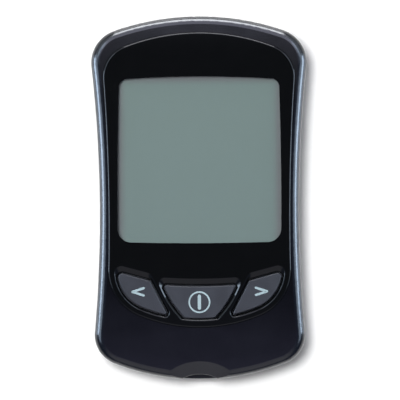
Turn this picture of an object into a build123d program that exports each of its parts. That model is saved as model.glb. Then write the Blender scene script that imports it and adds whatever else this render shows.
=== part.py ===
from build123d import *
import math
import os

# Pocket blood glucose meter, lying on its flat back with the display up.
# Millimetres. +Z points out of the display, +Y to the display end and -Y to the
# test-strip end. The origin is the middle of the back, on the resting surface.
# A "drop" is a depth below the crowned front surface of the face panel.

# ---------------------------------------------------------------- body outline
BODY_LENGTH = 95.0
BODY_THICKNESS = 17.0
WAIST_WIDTH = 52.06
WAIST_UP = 44.0              # the narrowest place, above the strip end
SIDE_R = 342.0               # hollow sides
DISPLAY_END_R = 67.5
STRIP_END_R = 61.3
DISPLAY_CORNER_R = 8.9
STRIP_CORNER_R = 8.0
CROWN_R = 500.0              # the front is a cylinder about an axis along X
FRONT_EDGE_R = 2.3
BACK_EDGE_R = 3.0

# --------------------------------------------------------------------- covers
WALL = 1.8
BACK_WALL = 1.6
PARTING_Z = 9.0              # where the two covers meet
SHADOW_GAP = 0.35            # groove round the parting line
TONGUE_THICKNESS = 0.8
TONGUE_HEIGHT = 0.9
TONGUE_GAP = 0.1
COVER_PLATE = 1.0            # front cover's plate under the face panel
CUT_OVER = 1.0               # how far a cut reaches past a face

# ----------------------------------------------------------------- face panel
PANEL_THICKNESS = 1.3
PANEL_PROUD = 0.35           # above the front cover's surface
PANEL_EDGE_R = 0.4
PANEL_GAP = 0.08
PANEL_TOP_MARGIN = 4.31
PANEL_BOTTOM_MARGIN = 13.64
PANEL_SIDE_MARGIN = 2.33     # at the waist
PANEL_WAIST_UP = 41.0
PANEL_SIDE_R = 539.0
PANEL_TOP_R = 53.8
PANEL_BOTTOM_R = 41.7
PANEL_TOP_CORNER_R = 8.45
PANEL_BOTTOM_CORNER_R = 12.8
ADHESIVE_THICKNESS = 0.1
ADHESIVE_INSET = 0.5

# -------------------------------------------------------------------- display
WINDOW_TOP_MARGIN = 15.85
WINDOW_BOTTOM_MARGIN = 35.67
WINDOW_SIDE_MARGIN = 2.35    # from the panel's edge at the waist
WINDOW_WIDEST_UP = 47.5
WINDOW_SIDE_R = 1000.0
WINDOW_TOP_R = 290.0
WINDOW_BOTTOM_R = 700.0
WINDOW_TOP_CORNER_R = 2.3
WINDOW_BOTTOM_CORNER_R = 3.6
LENS_GAP = 0.05
LENS_FLANGE = 0.7
LENS_FLANGE_THICKNESS = 0.5
GASKET_WIDTH = 0.8
GASKET_INSET = 0.7           # from the window's edge
GLASS_THICKNESS = 0.7
GLASS_BORDER = 1.55          # glass beyond the window
POLARIZER_THICKNESS = 0.2
POLARIZER_BORDER = 0.5
GLASS_LEDGE = 2.4            # front glass beyond the rear glass, for the contacts
DISPLAY_AIR = 0.1            # least gap from the plate to the display glass
FRAME_WALL = 0.8
FRAME_GAP = 0.08
FRAME_SHELF = 1.2
ZEBRA_WIDTH = 1.6
ZEBRA_END_GAP = 1.5

# ----------------------------------------------------------------------- keys
KEY_FIELD_MARGIN = 2.45      # keys' lower edges follow the panel's edge
KEY_TOP_EDGE_R = 0.2
KEY_GAP = 0.35
KEY_TRAVEL = 0.5
KEY_FLANGE = 0.6
KEY_FLANGE_THICKNESS = 0.7
KEY_FLANGE_GAP = 0.1
KEY_STEM_R = 1.6
POWER_KEY_UP = 10.72         # middle of its upper edge, above the panel's edge
POWER_KEY_HALF = 11.21
POWER_KEY_SIDE_R = 25.8
POWER_KEY_SIDE_UP = 20.7
POWER_KEY_BOW_R = 120.0
POWER_KEY_TOP_CORNER_R = 0.4
POWER_KEY_LOW_CORNER_R = 0.6
SIDE_KEY_CORNER_X = 12.95
SIDE_KEY_CORNER_UP = 12.15
SIDE_KEY_TOP_TILT = 15.6
SIDE_KEY_SIDE_TILT = 27.0
SIDE_KEY_CORNER_R = 1.0
SIDE_KEY_TIP_R = 0.35
POCKET_DEPTH = 0.85
POCKET_FOOT = 0.15           # from a key to the pocket's foot, within the key's hole
POCKET_CREST_R = 0.35
POCKET_REACH_ABOVE = 2.05    # from a key's upper edge to the pocket's crest
POWER_POCKET_SIDE = 1.2
POWER_POCKET_BELOW = 0.6
SIDE_POCKET_SIDE = 0.9

# ------------------------------------------------------------------ strip end
SCOOP_R = 16.6
SCOOP_REACH = 4.8            # in from the end, on the middle line
SCOOP_SLOPE = 26.0
SCOOP_PLATE = 1.8
NOTCH_R = 10.0
NOTCH_DEPTH = 1.34
NOTCH_LIP_R = 0.3
PORT_WIDTH = 7.4
PORT_HEIGHT = 1.2
PORT_LOWER = 0.2             # its lower edge below the channel's floor
PORT_SURROUND_WIDTH = 13.0
PORT_SURROUND_DEPTH = 1.5
CONNECTOR_WIDTH = 10.4
CONNECTOR_LENGTH = 11.8
CONNECTOR_HEIGHT = 2.4
CONNECTOR_GAP = 0.15
CONNECTOR_FLOOR = 0.5
CONNECTOR_ROOF = 0.5
STRIP_WIDTH = 6.6
STRIP_CHANNEL_LENGTH = 9.6
STRIP_CONTACT_COUNT = 4
STRIP_CONTACT_PITCH = 1.4
STRIP_CONTACT_WIDTH = 0.7
STRIP_CONTACT_DIP = 0.6      # how far the leaves bow into the channel
STRIP_CONTACT_BOW = 1.0      # half the length of the bow
STRIP_CONTACT_TAIL = 0.5
TAIL_GAP = 0.3               # between the connector and the tails

# ----------------------------------------------------------------- main board
BOARD_THICKNESS = 1.0
KEY_STEM_LENGTH = 0.44       # from the middle key's flange to its plunger
BOARD_EDGE_GAP = 0.6
SIDE_SWITCH_OUT = 2.8        # outwards from the side key's corner
SIDE_SWITCH_DOWN = 3.0
SWITCH_SIZE = 4.5
SWITCH_HEIGHT = 2.0
SWITCH_CORNER_R = 0.4
PLUNGER_R = 1.1
PLUNGER_PROUD = 0.8
PLUNGER_DEPTH = 1.0
PLUNGER_FIT = 0.05
CONTACT_SHEET = 0.2
CONTACT_FIT = 0.1            # round a contact in its slot
CHIP_STANDOFF = 0.1          # under the chips' bodies
CHIP_SIZE = 10.0
CHIP_HEIGHT = 1.4
CHIP_LEGS_PER_SIDE = 11
CHIP_LEG_WIDTH = 0.3
CHIP_LEG_REACH = 1.0
MEMORY_LENGTH = 5.0
MEMORY_WIDTH = 4.0
MEMORY_HEIGHT = 1.5
MEMORY_LEGS_PER_SIDE = 4
MEMORY_LEG_WIDTH = 0.4
MEMORY_LEG_REACH = 0.8
CRYSTAL_LENGTH = 8.0
CRYSTAL_WIDTH = 3.2
CRYSTAL_HEIGHT = 2.4
PASSIVE_LENGTH = 1.6
PASSIVE_WIDTH = 0.8
PASSIVE_HEIGHT = 0.7
PASSIVES_PER_ROW = 6
PASSIVE_PITCH = 1.6
PASSIVE_ROW_OUT = 3.0        # from the chip's side
CHIP_FROM_BOTTOM = 26.0
MEMORY_IN = 9.5              # in from the waist's width
MEMORY_FROM_BOTTOM = 20.5
CRYSTAL_IN = 10.5
CRYSTAL_FROM_BOTTOM = 32.5
BUZZER_IN = 8.7
BUZZER_FROM_BOTTOM = 34.0
BUZZER_R = 4.5
BUZZER_HEIGHT = 3.4
BUZZER_EDGE_R = 0.4
BUZZER_PORT_R = 0.9
SOUND_HOLE_R = 0.6
SOUND_HOLE_PITCH = 2.4
SOUND_HOLE_COUNT = 3

# ------------------------------------------------------------------ data jack
JACK_WIDTH = 5.6
JACK_LENGTH = 11.0
JACK_HEIGHT = 4.8
JACK_NOSE_R = 1.8
JACK_NOSE_GAP = 0.1
JACK_NOSE_RECESS = 0.3
JACK_WALL_GAP = 0.3
JACK_BORE_R = 1.27
JACK_BORE_LENGTH = 9.6
JACK_CONTACT_COUNT = 3
JACK_CONTACT_PITCH = 2.6
JACK_CONTACT_WIDTH = 0.8
JACK_FIRST_CONTACT = 2.4
CONTACT_SLOT_DEPTH = 0.3     # how far the contact slots cut into the bore

# -------------------------------------------------------------------- battery
CELL_R = 10.0
CELL_HEIGHT = 3.2
CELL_SHEET = 0.3
CELL_GASKET = 1.0            # width of the sealing ring
CELL_CAP_PROUD = 0.25
CELL_CRIMP = 0.7
CELL_FROM_TOP = 35.5
CELL_GAP = 0.4               # round the cell
CELL_DOOR_GAP = 0.5          # between the cell and the door
CELL_ROOF_GAP = 0.8          # room for the spring contact
WELL_WALL = 1.2
WELL_ROOF = 1.0
CONTACT_WIDTH = 4.0
CONTACT_PLAY = 0.02          # between a battery contact and what it lies on
CONTACT_LIFT = 0.15          # turned-up tip of the negative contact
CONTACT_TIP = 1.0
CONTACT_POCKET_UP = 0.8      # lower end of the positive contact, above the pan
CONTACT_FOOT = 1.4
DOOR_SIDE = 2.4              # door beyond the cell, at each side
DOOR_THICKNESS = 1.2
DOOR_ROOF_GAP = 0.15         # between the door and the pan
DOOR_RECESS = 0.15
DOOR_GAP = 0.25
DOOR_CORNER_R = 2.0
DOOR_HINGE_END = 4.4         # from the cell to the hinge's axis
DOOR_LATCH_END = 4.5         # from the cell to the latch's end of the door
DOOR_RIB_WIDTH = 0.8
DOOR_RIB_HEIGHT = 0.3
DOOR_RIB_R = 7.0
PAN_WALL = 1.2
PAN_ROOF = 1.0
HINGE_PIN_R = 0.45
HINGE_PIN_LENGTH = 1.0
HINGE_PIN_ROOT = 0.25        # how far a pin reaches into the door
HINGE_FIT = 0.05
LATCH_WIDTH = 8.0
LATCH_THICKNESS = 1.0
LATCH_HEIGHT = 2.0
LATCH_ROOT = 0.5             # how far the latch reaches into the door
LATCH_SETBACK = 0.35
NIB_PROUD = 0.3
NIB_HEIGHT = 0.6
NIB_DOWN = 0.9               # below the latch's top
FINGER_R = 9.0
FINGER_DEPTH = 0.8

# ------------------------------------------------------------------ fasteners
HOUSING_SCREW_IN = 5.43      # in from the waist's width
HOUSING_SCREW_FROM_TOP = 10.3
HOUSING_SCREW_FROM_BOTTOM = 10.9
HOUSING_SCREW_R = 1.0
HOUSING_HEAD_R = 1.8
HOUSING_HEAD_HEIGHT = 1.4
HOUSING_SCREW_LENGTH = 7.5
HEAD_SEAT_DOWN = 3.6         # from the board down to the heads' bearing faces
HEAD_CLEARANCE = 0.25
SHANK_CLEARANCE = 0.2
REAR_POST_WALL = 0.8
BOARD_SCREW_TOP_X = 10.0
BOARD_SCREW_BOTTOM_X = 11.5
BOARD_SCREW_FROM_END = 9.0
BOARD_SCREW_R = 0.8
BOARD_HEAD_R = 1.5
BOARD_HEAD_HEIGHT = 1.1
BOARD_SCREW_LENGTH = 3.6
POST_WALL = 1.2
PILOT_CLEARANCE = 0.02
PILOT_END_GAP = 0.3
DRIVE_LENGTH = 0.62          # cross slots, as a share of the head
DRIVE_WIDTH = 0.35
DRIVE_DEPTH = 0.8

# ----------------------------------------------------------------- rear label
LABEL_WIDTH = 21.0
LABEL_HEIGHT = 17.0
LABEL_CORNER_R = 1.5
LABEL_SPACE = 1.0            # between the finger dip and the label
LABEL_THICKNESS = 0.1
LABEL_RECESS = 0.2
LABEL_GAP = 0.2

# ------------------------------------------------------------ derived places
TOP_Y = BODY_LENGTH / 2
BOTTOM_Y = -BODY_LENGTH / 2
WAIST_HALF = WAIST_WIDTH / 2
BIG = 2 * BODY_LENGTH        # longer than anything that it cuts
PANEL_TOP_Y = TOP_Y - PANEL_TOP_MARGIN
PANEL_BOTTOM_Y = BOTTOM_Y + PANEL_BOTTOM_MARGIN
PANEL_HALF = WAIST_HALF - PANEL_SIDE_MARGIN
WINDOW_TOP_Y = TOP_Y - WINDOW_TOP_MARGIN
WINDOW_BOTTOM_Y = BOTTOM_Y + WINDOW_BOTTOM_MARGIN
WINDOW_HALF = PANEL_HALF - WINDOW_SIDE_MARGIN
RECESS_DROP = PANEL_THICKNESS + ADHESIVE_THICKNESS
CEILING_DROP = RECESS_DROP + COVER_PLATE
FLANGE_TOP_DROP = CEILING_DROP + KEY_FLANGE_GAP
FLANGE_BOTTOM_DROP = FLANGE_TOP_DROP + KEY_FLANGE_THICKNESS
KEY_ROW_Y = PANEL_BOTTOM_Y + POWER_KEY_UP / 2 + KEY_FIELD_MARGIN / 2


def crown_z(y, drop=0.0):
    """Height of the crowned surface at y, `drop` below the panel's top."""
    return BODY_THICKNESS - CROWN_R + math.sqrt((CROWN_R - drop) ** 2 - y**2)


# The stack under the middle key: plunger, switch, board.
PLUNGER_TOP_Z = crown_z(KEY_ROW_Y, FLANGE_BOTTOM_DROP) - KEY_STEM_LENGTH
SWITCH_TOP_Z = PLUNGER_TOP_Z - PLUNGER_PROUD
BOARD_TOP_Z = SWITCH_TOP_Z - SWITCH_HEIGHT
BOARD_BOTTOM_Z = BOARD_TOP_Z - BOARD_THICKNESS
BOARD_INSET = WALL + BOARD_EDGE_GAP
POWER_SWITCH = (0.0, KEY_ROW_Y)
SIDE_SWITCH = (
    SIDE_KEY_CORNER_X + SIDE_SWITCH_OUT,
    PANEL_BOTTOM_Y + SIDE_KEY_CORNER_UP - SIDE_SWITCH_DOWN,
)
CHIP_PLACE = (0.0, BOTTOM_Y + CHIP_FROM_BOTTOM)
MEMORY_PLACE = (MEMORY_IN - WAIST_HALF, BOTTOM_Y + MEMORY_FROM_BOTTOM)
CRYSTAL_PLACE = (WAIST_HALF - CRYSTAL_IN, BOTTOM_Y + CRYSTAL_FROM_BOTTOM)
BUZZER_PLACE = (BUZZER_IN - WAIST_HALF, BOTTOM_Y + BUZZER_FROM_BOTTOM)

# The stack under the window: polarizer, two glasses, reflector.
WINDOW_FAR_Y = max(abs(WINDOW_TOP_Y), abs(WINDOW_BOTTOM_Y)) + GLASS_BORDER
GLASS_TOP_Z = crown_z(WINDOW_FAR_Y, CEILING_DROP) - DISPLAY_AIR
DISPLAY_TOP_Z = GLASS_TOP_Z - POLARIZER_THICKNESS
GLASS_JOIN_Z = DISPLAY_TOP_Z - GLASS_THICKNESS
GLASS_BOTTOM_Z = GLASS_JOIN_Z - GLASS_THICKNESS
REFLECTOR_Z = GLASS_BOTTOM_Z - POLARIZER_THICKNESS
GLASS_HALF = WINDOW_HALF + GLASS_BORDER
GLASS_HIGH_Y = WINDOW_TOP_Y + GLASS_BORDER
GLASS_LOW_Y = WINDOW_BOTTOM_Y - GLASS_BORDER
LEDGE_LOW_Y = GLASS_LOW_Y - GLASS_LEDGE
REFLECTOR_BORDER = GLASS_BORDER - FRAME_SHELF - FRAME_GAP

# The two ends.
SCOOP_Y = BOTTOM_Y + SCOOP_REACH - SCOOP_R
NOTCH_Y = BOTTOM_Y + NOTCH_DEPTH - NOTCH_R
PORT_INNER_Y = BOTTOM_Y + WALL + PORT_SURROUND_DEPTH
PORT_Z = BOARD_TOP_Z + CONNECTOR_FLOOR - PORT_LOWER
CONNECTOR_Y = PORT_INNER_Y + CONNECTOR_GAP
JACK_Z = BOARD_BOTTOM_Z - JACK_HEIGHT / 2
JACK_FRONT_Y = TOP_Y - WALL - JACK_WALL_GAP

# The battery and its door, from the back upwards.
CELL_Y = TOP_Y - CELL_FROM_TOP
DOOR_INNER_Z = DOOR_RECESS + DOOR_THICKNESS
PAN_FLOOR_Z = DOOR_INNER_Z + DOOR_ROOF_GAP
CELL_Z = DOOR_INNER_Z + CELL_DOOR_GAP
CELL_TOP_Z = CELL_Z + CELL_HEIGHT
CELL_CAP_R = CELL_R - CELL_SHEET - CELL_GASKET
WELL_ROOF_Z = CELL_TOP_Z + CELL_ROOF_GAP
DOOR_WIDTH = 2 * (CELL_R + DOOR_SIDE)
HINGE_Y = CELL_Y + CELL_R + DOOR_HINGE_END
HINGE_Z = DOOR_RECESS + DOOR_THICKNESS / 2
DOOR_END_Y = HINGE_Y + DOOR_THICKNESS / 2
LATCH_END_Y = CELL_Y - CELL_R - DOOR_LATCH_END
LABEL_Y = LATCH_END_Y - FINGER_R - LABEL_SPACE - LABEL_HEIGHT / 2

HOUSING_SCREW_X = WAIST_HALF - HOUSING_SCREW_IN
HOUSING_SCREW_TOP_Y = TOP_Y - HOUSING_SCREW_FROM_TOP
HOUSING_SCREW_BOTTOM_Y = BOTTOM_Y + HOUSING_SCREW_FROM_BOTTOM
BOARD_SCREW_Y = TOP_Y - BOARD_SCREW_FROM_END
HEAD_SEAT_Z = BOARD_BOTTOM_Z - HEAD_SEAT_DOWN


# -------------------------------------------------------------- small helpers
def disc(radius, x, y, seam=0.0):
    """A flat disc; `seam` turns its start point out of the outline."""
    return Pos(x, y) * Rot(Z=seam) * Circle(radius)


def prism(face, low, high):
    """A face drawn at z = 0, raised from `low` to `high`."""
    return Pos(0, 0, low) * extrude(face, high - low)


def block(x0, x1, y0, y1, z0, z1):
    """A box given by its two corners."""
    middle = Pos((x0 + x1) / 2, (y0 + y1) / 2, (z0 + z1) / 2)
    return middle * Box(x1 - x0, y1 - y0, z1 - z0)


def post(radius, x, y, low, high):
    """An upright round post or hole."""
    return Pos(x, y, (low + high) / 2) * Cylinder(radius, high - low)


def below_crown(drop):
    """Everything below the crowned surface at a drop."""
    turned = Rot(Y=90) * Cylinder(CROWN_R - drop, BIG)
    return Pos(0, 0, BODY_THICKNESS - CROWN_R) * turned


def under_crown(face, low, drop):
    """A face raised from `low` up to the crowned surface."""
    return prism(face, low, BODY_THICKNESS + CUT_OVER) & below_crown(drop)


def crowned_sheet(face, top_drop, bottom_drop):
    """A face raised between two crowned surfaces."""
    return under_crown(face, PARTING_Z, top_drop) - below_crown(bottom_drop)


def mirrored(shape):
    """The same shape on the other side of the middle plane."""
    return mirror(shape, about=Plane.YZ)


def leaving(edge, corner):
    """The direction in which an edge leaves one of its ends."""
    first = (edge @ 0 - corner.center()).length < (edge @ 1 - corner.center()).length
    near, far = (0, 0.01) if first else (1, 0.99)
    return (edge @ far - edge @ near).normalized()


def sharp_corners(face):
    """The corners where two edges meet at an angle, from the lowest to the highest."""
    corners = []
    for corner in face.vertices().sort_by(Axis.Y):
        meeting = [edge for edge in face.edges() if corner in edge.vertices()]
        first, second = (leaving(edge, corner) for edge in meeting)
        if abs(first.cross(second).Z) > 0.1:
            corners.append(corner)
    return corners


# ------------------------------------------------------------------- outlines
def ends_of(top_y, top_r, bottom_y, bottom_r):
    """The lens between a bowed upper end and a bowed lower end."""
    upper = disc(top_r, 0, top_y - top_r, seam=-90)
    lower = disc(bottom_r, 0, bottom_y + bottom_r, seam=90)
    return upper & lower


def round_ends(face, top_r, bottom_r):
    """Rounds the two upper and the two lower corners."""
    face = fillet(face.vertices().sort_by(Axis.Y)[-2:], top_r)
    return fillet(face.vertices().sort_by(Axis.Y)[:2], bottom_r)


def body(inset=0.0):
    """The body's outline, or a line that far inside it, with hollow sides."""
    face = ends_of(
        TOP_Y - inset, DISPLAY_END_R - inset, BOTTOM_Y + inset, STRIP_END_R - inset
    )
    reach = WAIST_HALF + SIDE_R
    face -= disc(SIDE_R + inset, reach, BOTTOM_Y + WAIST_UP)
    face -= disc(SIDE_R + inset, -reach, BOTTOM_Y + WAIST_UP, seam=180)
    return round_ends(face, DISPLAY_CORNER_R - inset, STRIP_CORNER_R - inset)


def panel(inset=0.0):
    """The face panel's outline, or a line that far inside it."""
    face = ends_of(
        PANEL_TOP_Y - inset, PANEL_TOP_R - inset, PANEL_BOTTOM_Y + inset, PANEL_BOTTOM_R - inset
    )
    reach = PANEL_HALF + PANEL_SIDE_R
    face -= disc(PANEL_SIDE_R + inset, reach, BOTTOM_Y + PANEL_WAIST_UP)
    face -= disc(PANEL_SIDE_R + inset, -reach, BOTTOM_Y + PANEL_WAIST_UP, seam=180)
    return round_ends(face, PANEL_TOP_CORNER_R - inset, PANEL_BOTTOM_CORNER_R - inset)


def window(grow=0.0):
    """The display window's outline, or a line that far outside it."""
    face = ends_of(
        WINDOW_TOP_Y + grow, WINDOW_TOP_R + grow, WINDOW_BOTTOM_Y - grow, WINDOW_BOTTOM_R + grow
    )
    reach = WINDOW_HALF - WINDOW_SIDE_R
    face = face & disc(WINDOW_SIDE_R + grow, reach, BOTTOM_Y + WINDOW_WIDEST_UP, seam=180)
    face = face & disc(WINDOW_SIDE_R + grow, -reach, BOTTOM_Y + WINDOW_WIDEST_UP)
    return round_ends(face, WINDOW_TOP_CORNER_R + grow, WINDOW_BOTTOM_CORNER_R + grow)


# ----------------------------------------------------------------- key shapes
def power_key(grow=0.0, above=None, below=None):
    """The bowl-shaped middle key, or a line outside it: further out above or below."""
    above = grow if above is None else above
    below = grow if below is None else below
    side_y = PANEL_BOTTOM_Y + POWER_KEY_SIDE_UP
    side_x = POWER_KEY_SIDE_R - POWER_KEY_HALF
    radius = POWER_KEY_SIDE_R + grow
    top_y = PANEL_BOTTOM_Y + POWER_KEY_UP + POWER_KEY_BOW_R
    face = panel(KEY_FIELD_MARGIN - below)
    face = face & disc(radius, side_x, side_y)
    face = face & disc(radius, -side_x, side_y, seam=180)
    face -= disc(POWER_KEY_BOW_R - above, 0, top_y, seam=90)
    face = fillet(sharp_corners(face)[-2:], POWER_KEY_TOP_CORNER_R + grow)
    return fillet(sharp_corners(face), POWER_KEY_LOW_CORNER_R + grow)


def arc_about(centre, start, end):
    """The shorter arc about a centre from one point to another."""
    radius = (start - centre).length
    middle = (start + end) / 2 - centre
    return ThreePointArc(start, centre + middle.normalized() * radius, end)


def run_to_circle(start, direction, centre, radius):
    """Where a straight run from inside a circle meets it."""
    offset = start - centre
    along = offset.dot(direction)
    return start + direction * (math.sqrt(along**2 + radius**2 - offset.length**2) - along)


def panel_corner():
    """The centre of the panel's lower right corner."""
    arcs = [edge for edge in panel().edges() if edge.geom_type == GeomType.CIRCLE]
    rounds = [arc for arc in arcs if abs(arc.radius - PANEL_BOTTOM_CORNER_R) < 0.001]
    return max((arc.arc_center for arc in rounds), key=lambda centre: centre.X)


def side_key(grow=0.0, above=None):
    """The wedge-shaped right key, or a line outside it: further out above."""
    above = grow if above is None else above
    top = math.radians(SIDE_KEY_TOP_TILT)
    side = math.radians(SIDE_KEY_SIDE_TILT)
    along_top = Vector(math.cos(top), math.sin(top))
    along_side = Vector(-math.sin(side), -math.cos(side))
    up = Vector(-math.sin(top), math.cos(top))
    inward = Vector(-math.cos(side), math.sin(side))
    back = (up.dot(inward) * above - grow) / along_top.dot(inward)
    sharp = Vector(SIDE_KEY_CORNER_X, PANEL_BOTTOM_Y + SIDE_KEY_CORNER_UP)
    inner = sharp + up * above - along_top * back
    inset = KEY_FIELD_MARGIN - grow
    small = panel_corner()
    big = Vector(0, PANEL_BOTTOM_Y + PANEL_BOTTOM_R)
    outer = run_to_circle(inner, along_top, small, PANEL_BOTTOM_CORNER_R - inset)
    tip = run_to_circle(inner, along_side, big, PANEL_BOTTOM_R - inset)
    join = big + (small - big).normalized() * (PANEL_BOTTOM_R - inset)
    edges = [
        Line(inner, outer), arc_about(small, outer, join), arc_about(big, join, tip), Line(tip, inner)
    ]
    face = make_face(edges)
    face = fillet(sharp_corners(face)[-2:], SIDE_KEY_CORNER_R + grow)
    return fillet(sharp_corners(face), SIDE_KEY_TIP_R + grow)


def keys(grow=0.0):
    """The three keys' outlines, left, middle and right, or lines outside them."""
    right = side_key(grow)
    return (mirrored(right), power_key(grow), right)


def on_key_row(shape):
    """Lays a flat-drawn shape on the crown where it passes the key row."""
    tilt = math.degrees(math.asin(KEY_ROW_Y / CROWN_R))
    place = Pos(0, KEY_ROW_Y, crown_z(KEY_ROW_Y)) * Rot(X=-tilt)
    return place * Pos(0, -KEY_ROW_Y, 0) * shape


def dish(rim, foot):
    """A pocket that slopes from its rim down to its foot round a key."""
    low = Pos(0, 0, -POCKET_DEPTH) * foot
    return prism(rim, 0, CUT_OVER) + loft([rim.face(), low.face()], ruled=True)


def power_pocket():
    """The pocket of the middle key."""
    rim = power_key(POWER_POCKET_SIDE, POCKET_REACH_ABOVE, POWER_POCKET_BELOW)
    return dish(rim, power_key(POCKET_FOOT))


def side_pocket():
    """The pocket of the right key."""
    return dish(side_key(SIDE_POCKET_SIDE, POCKET_REACH_ABOVE), side_key(POCKET_FOOT))


# ---------------------------------------------------------------- face module
def front_posts():
    """(x, y, outer radius, pilot radius, pilot top) of the front cover's posts."""
    posts = []
    for x, y in housing_screw_places():
        tip = HEAD_SEAT_Z + HOUSING_SCREW_LENGTH
        pilot = HOUSING_SCREW_R + PILOT_CLEARANCE
        posts.append((x, y, pilot + POST_WALL, pilot, tip + PILOT_END_GAP))
    for x, y in board_screw_places():
        tip = BOARD_BOTTOM_Z + BOARD_SCREW_LENGTH
        pilot = BOARD_SCREW_R + PILOT_CLEARANCE
        posts.append((x, y, pilot + POST_WALL, pilot, tip + PILOT_END_GAP))
    return posts


def housing_screw_places():
    """Where the four long screws stand."""
    return [
        (side * HOUSING_SCREW_X, y)
        for y in (HOUSING_SCREW_TOP_Y, HOUSING_SCREW_BOTTOM_Y)
        for side in (-1, 1)
    ]


def board_screw_places():
    """Where the four short screws stand."""
    return [
        (side * x, y)
        for x, y in ((BOARD_SCREW_TOP_X, BOARD_SCREW_Y), (BOARD_SCREW_BOTTOM_X, -BOARD_SCREW_Y))
        for side in (-1, 1)
    ]


def scoop():
    """The cone that guides a finger to the strip port."""
    slope = math.tan(math.radians(SCOOP_SLOPE))
    crest_z = crown_z(BOTTOM_Y + SCOOP_REACH, PANEL_PROUD)
    deep = SCOOP_R * slope
    high = BODY_THICKNESS
    upper_r = SCOOP_R + high / slope
    height = deep + high
    cone = Cone(0, upper_r, height)
    return Pos(0, SCOOP_Y, crest_z - deep + height / 2) * cone


def port_surround():
    """The thicker wall round the strip port."""
    outside = body(WALL / 2)
    band = Pos(0, PORT_INNER_Y - BODY_LENGTH / 2) * Rectangle(PORT_SURROUND_WIDTH, BODY_LENGTH)
    return under_crown(outside & band, PARTING_Z, RECESS_DROP)


def on_notch(edge):
    """Whether an edge runs along the notch where it cuts the scoop."""
    centre = Vector(0, NOTCH_Y)
    places = [edge @ share for share in (0, 0.25, 0.5, 1)]
    reaches = [(Vector(place.X, place.Y) - centre).length for place in places]
    high = min(place.Z for place in places) > PARTING_Z + COVER_PLATE
    return high and edge.length > NOTCH_R / 2 and max(abs(reach - NOTCH_R) for reach in reaches) < 0.001


def front_cover():
    """The front shell with the panel's recess, posts and strip port."""
    shell = under_crown(body(), PARTING_Z, PANEL_PROUD)
    shell = fillet(shell.faces().sort_by(Axis.Z)[-1].edges(), FRONT_EDGE_R)
    cavity = under_crown(body(WALL), PARTING_Z, CEILING_DROP)
    cavity -= Pos(0, 0, -SCOOP_PLATE) * scoop()
    shell -= cavity
    rebate = body(WALL - TONGUE_THICKNESS - TONGUE_GAP)
    shell -= prism(rebate, PARTING_Z, PARTING_Z + TONGUE_HEIGHT + TONGUE_GAP)
    shell -= prism(panel(-PANEL_GAP), PARTING_Z, BIG) - below_crown(RECESS_DROP)
    for x, y, radius, pilot, pilot_top in front_posts():
        shell += under_crown(Pos(x, y) * Circle(radius), BOARD_TOP_Z, RECESS_DROP)
        shell -= post(pilot, x, y, 0, pilot_top)
    shell += port_surround()
    shell -= prism(window(), PARTING_Z, BIG)
    for face in keys(KEY_GAP):
        shell -= prism(face, PARTING_Z, BIG)
    shell -= scoop()
    shell -= post(NOTCH_R, 0, NOTCH_Y, 0, BIG)
    lip = [edge for edge in shell.edges() if on_notch(edge)]
    shell = fillet(lip, NOTCH_LIP_R)
    half = PORT_WIDTH / 2
    inner_y = PORT_INNER_Y + CUT_OVER
    shell -= block(-half, half, BOTTOM_Y - CUT_OVER, inner_y, PORT_Z, PORT_Z + PORT_HEIGHT)
    return shell - nose_hole()


def face_panel():
    """The gloss panel with the window's rabbet and the dished key pockets."""
    sheet = crowned_sheet(panel(), 0, PANEL_THICKNESS)
    sheet -= on_key_row(power_pocket())
    sheet -= on_key_row(side_pocket())
    sheet -= mirrored(on_key_row(side_pocket()))
    front = sheet.faces().sort_by(Axis.Z)[-1]
    crests = [edge for wire in front.inner_wires() for edge in wire.edges()]
    sheet = fillet(crests, POCKET_CREST_R)
    front = sheet.faces().sort_by(Axis.Z)[-1]
    sheet = fillet(front.outer_wire().edges(), PANEL_EDGE_R)
    sheet -= prism(window(LENS_GAP), PARTING_Z, BIG)
    flange = window(LENS_FLANGE + LENS_GAP)
    sheet -= under_crown(flange, PARTING_Z, PANEL_THICKNESS - LENS_FLANGE_THICKNESS - LENS_GAP)
    for face in keys(KEY_GAP):
        sheet -= prism(face, PARTING_Z, BIG)
    return sheet


def panel_adhesive():
    """The tape between the panel and the front cover."""
    tape = panel(ADHESIVE_INSET) - window(LENS_FLANGE + ADHESIVE_INSET)
    for face in keys(KEY_GAP + ADHESIVE_INSET):
        tape -= face
    return crowned_sheet(tape, PANEL_THICKNESS, RECESS_DROP)


def display_lens():
    """The clear window pane with its hidden flange."""
    pane = crowned_sheet(window(), 0, PANEL_THICKNESS)
    top_drop = PANEL_THICKNESS - LENS_FLANGE_THICKNESS
    return pane + crowned_sheet(window(LENS_FLANGE), top_drop, RECESS_DROP)


def key_cap(face, flange_face, place):
    """A key with the hidden flange that keeps it in, and the stem on its plunger."""
    cap = crowned_sheet(face, 0, FLANGE_BOTTOM_DROP)
    cap = fillet(cap.faces().sort_by(Axis.Z)[-1].edges(), KEY_TOP_EDGE_R)
    cap += crowned_sheet(flange_face, FLANGE_TOP_DROP, FLANGE_BOTTOM_DROP)
    return cap + under_crown(Pos(*place) * Circle(KEY_STEM_R), PLUNGER_TOP_Z, FLANGE_TOP_DROP)


# -------------------------------------------------------------------- display
def plate_face(border, low_y, high_y):
    """A rectangle as wide as the window and a border."""
    width = 2 * (WINDOW_HALF + border)
    return Pos(0, (low_y + high_y) / 2) * Rectangle(width, high_y - low_y)


def display_gasket():
    """The foam ring between the glass and the front cover's plate."""
    ring = window(GASKET_INSET + GASKET_WIDTH) - window(GASKET_INSET)
    return under_crown(ring, DISPLAY_TOP_Z, CEILING_DROP)


def lcd_front_glass():
    """The front glass; its lower edge carries the contacts."""
    return prism(plate_face(GLASS_BORDER, LEDGE_LOW_Y, GLASS_HIGH_Y), GLASS_JOIN_Z, DISPLAY_TOP_Z)


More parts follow.
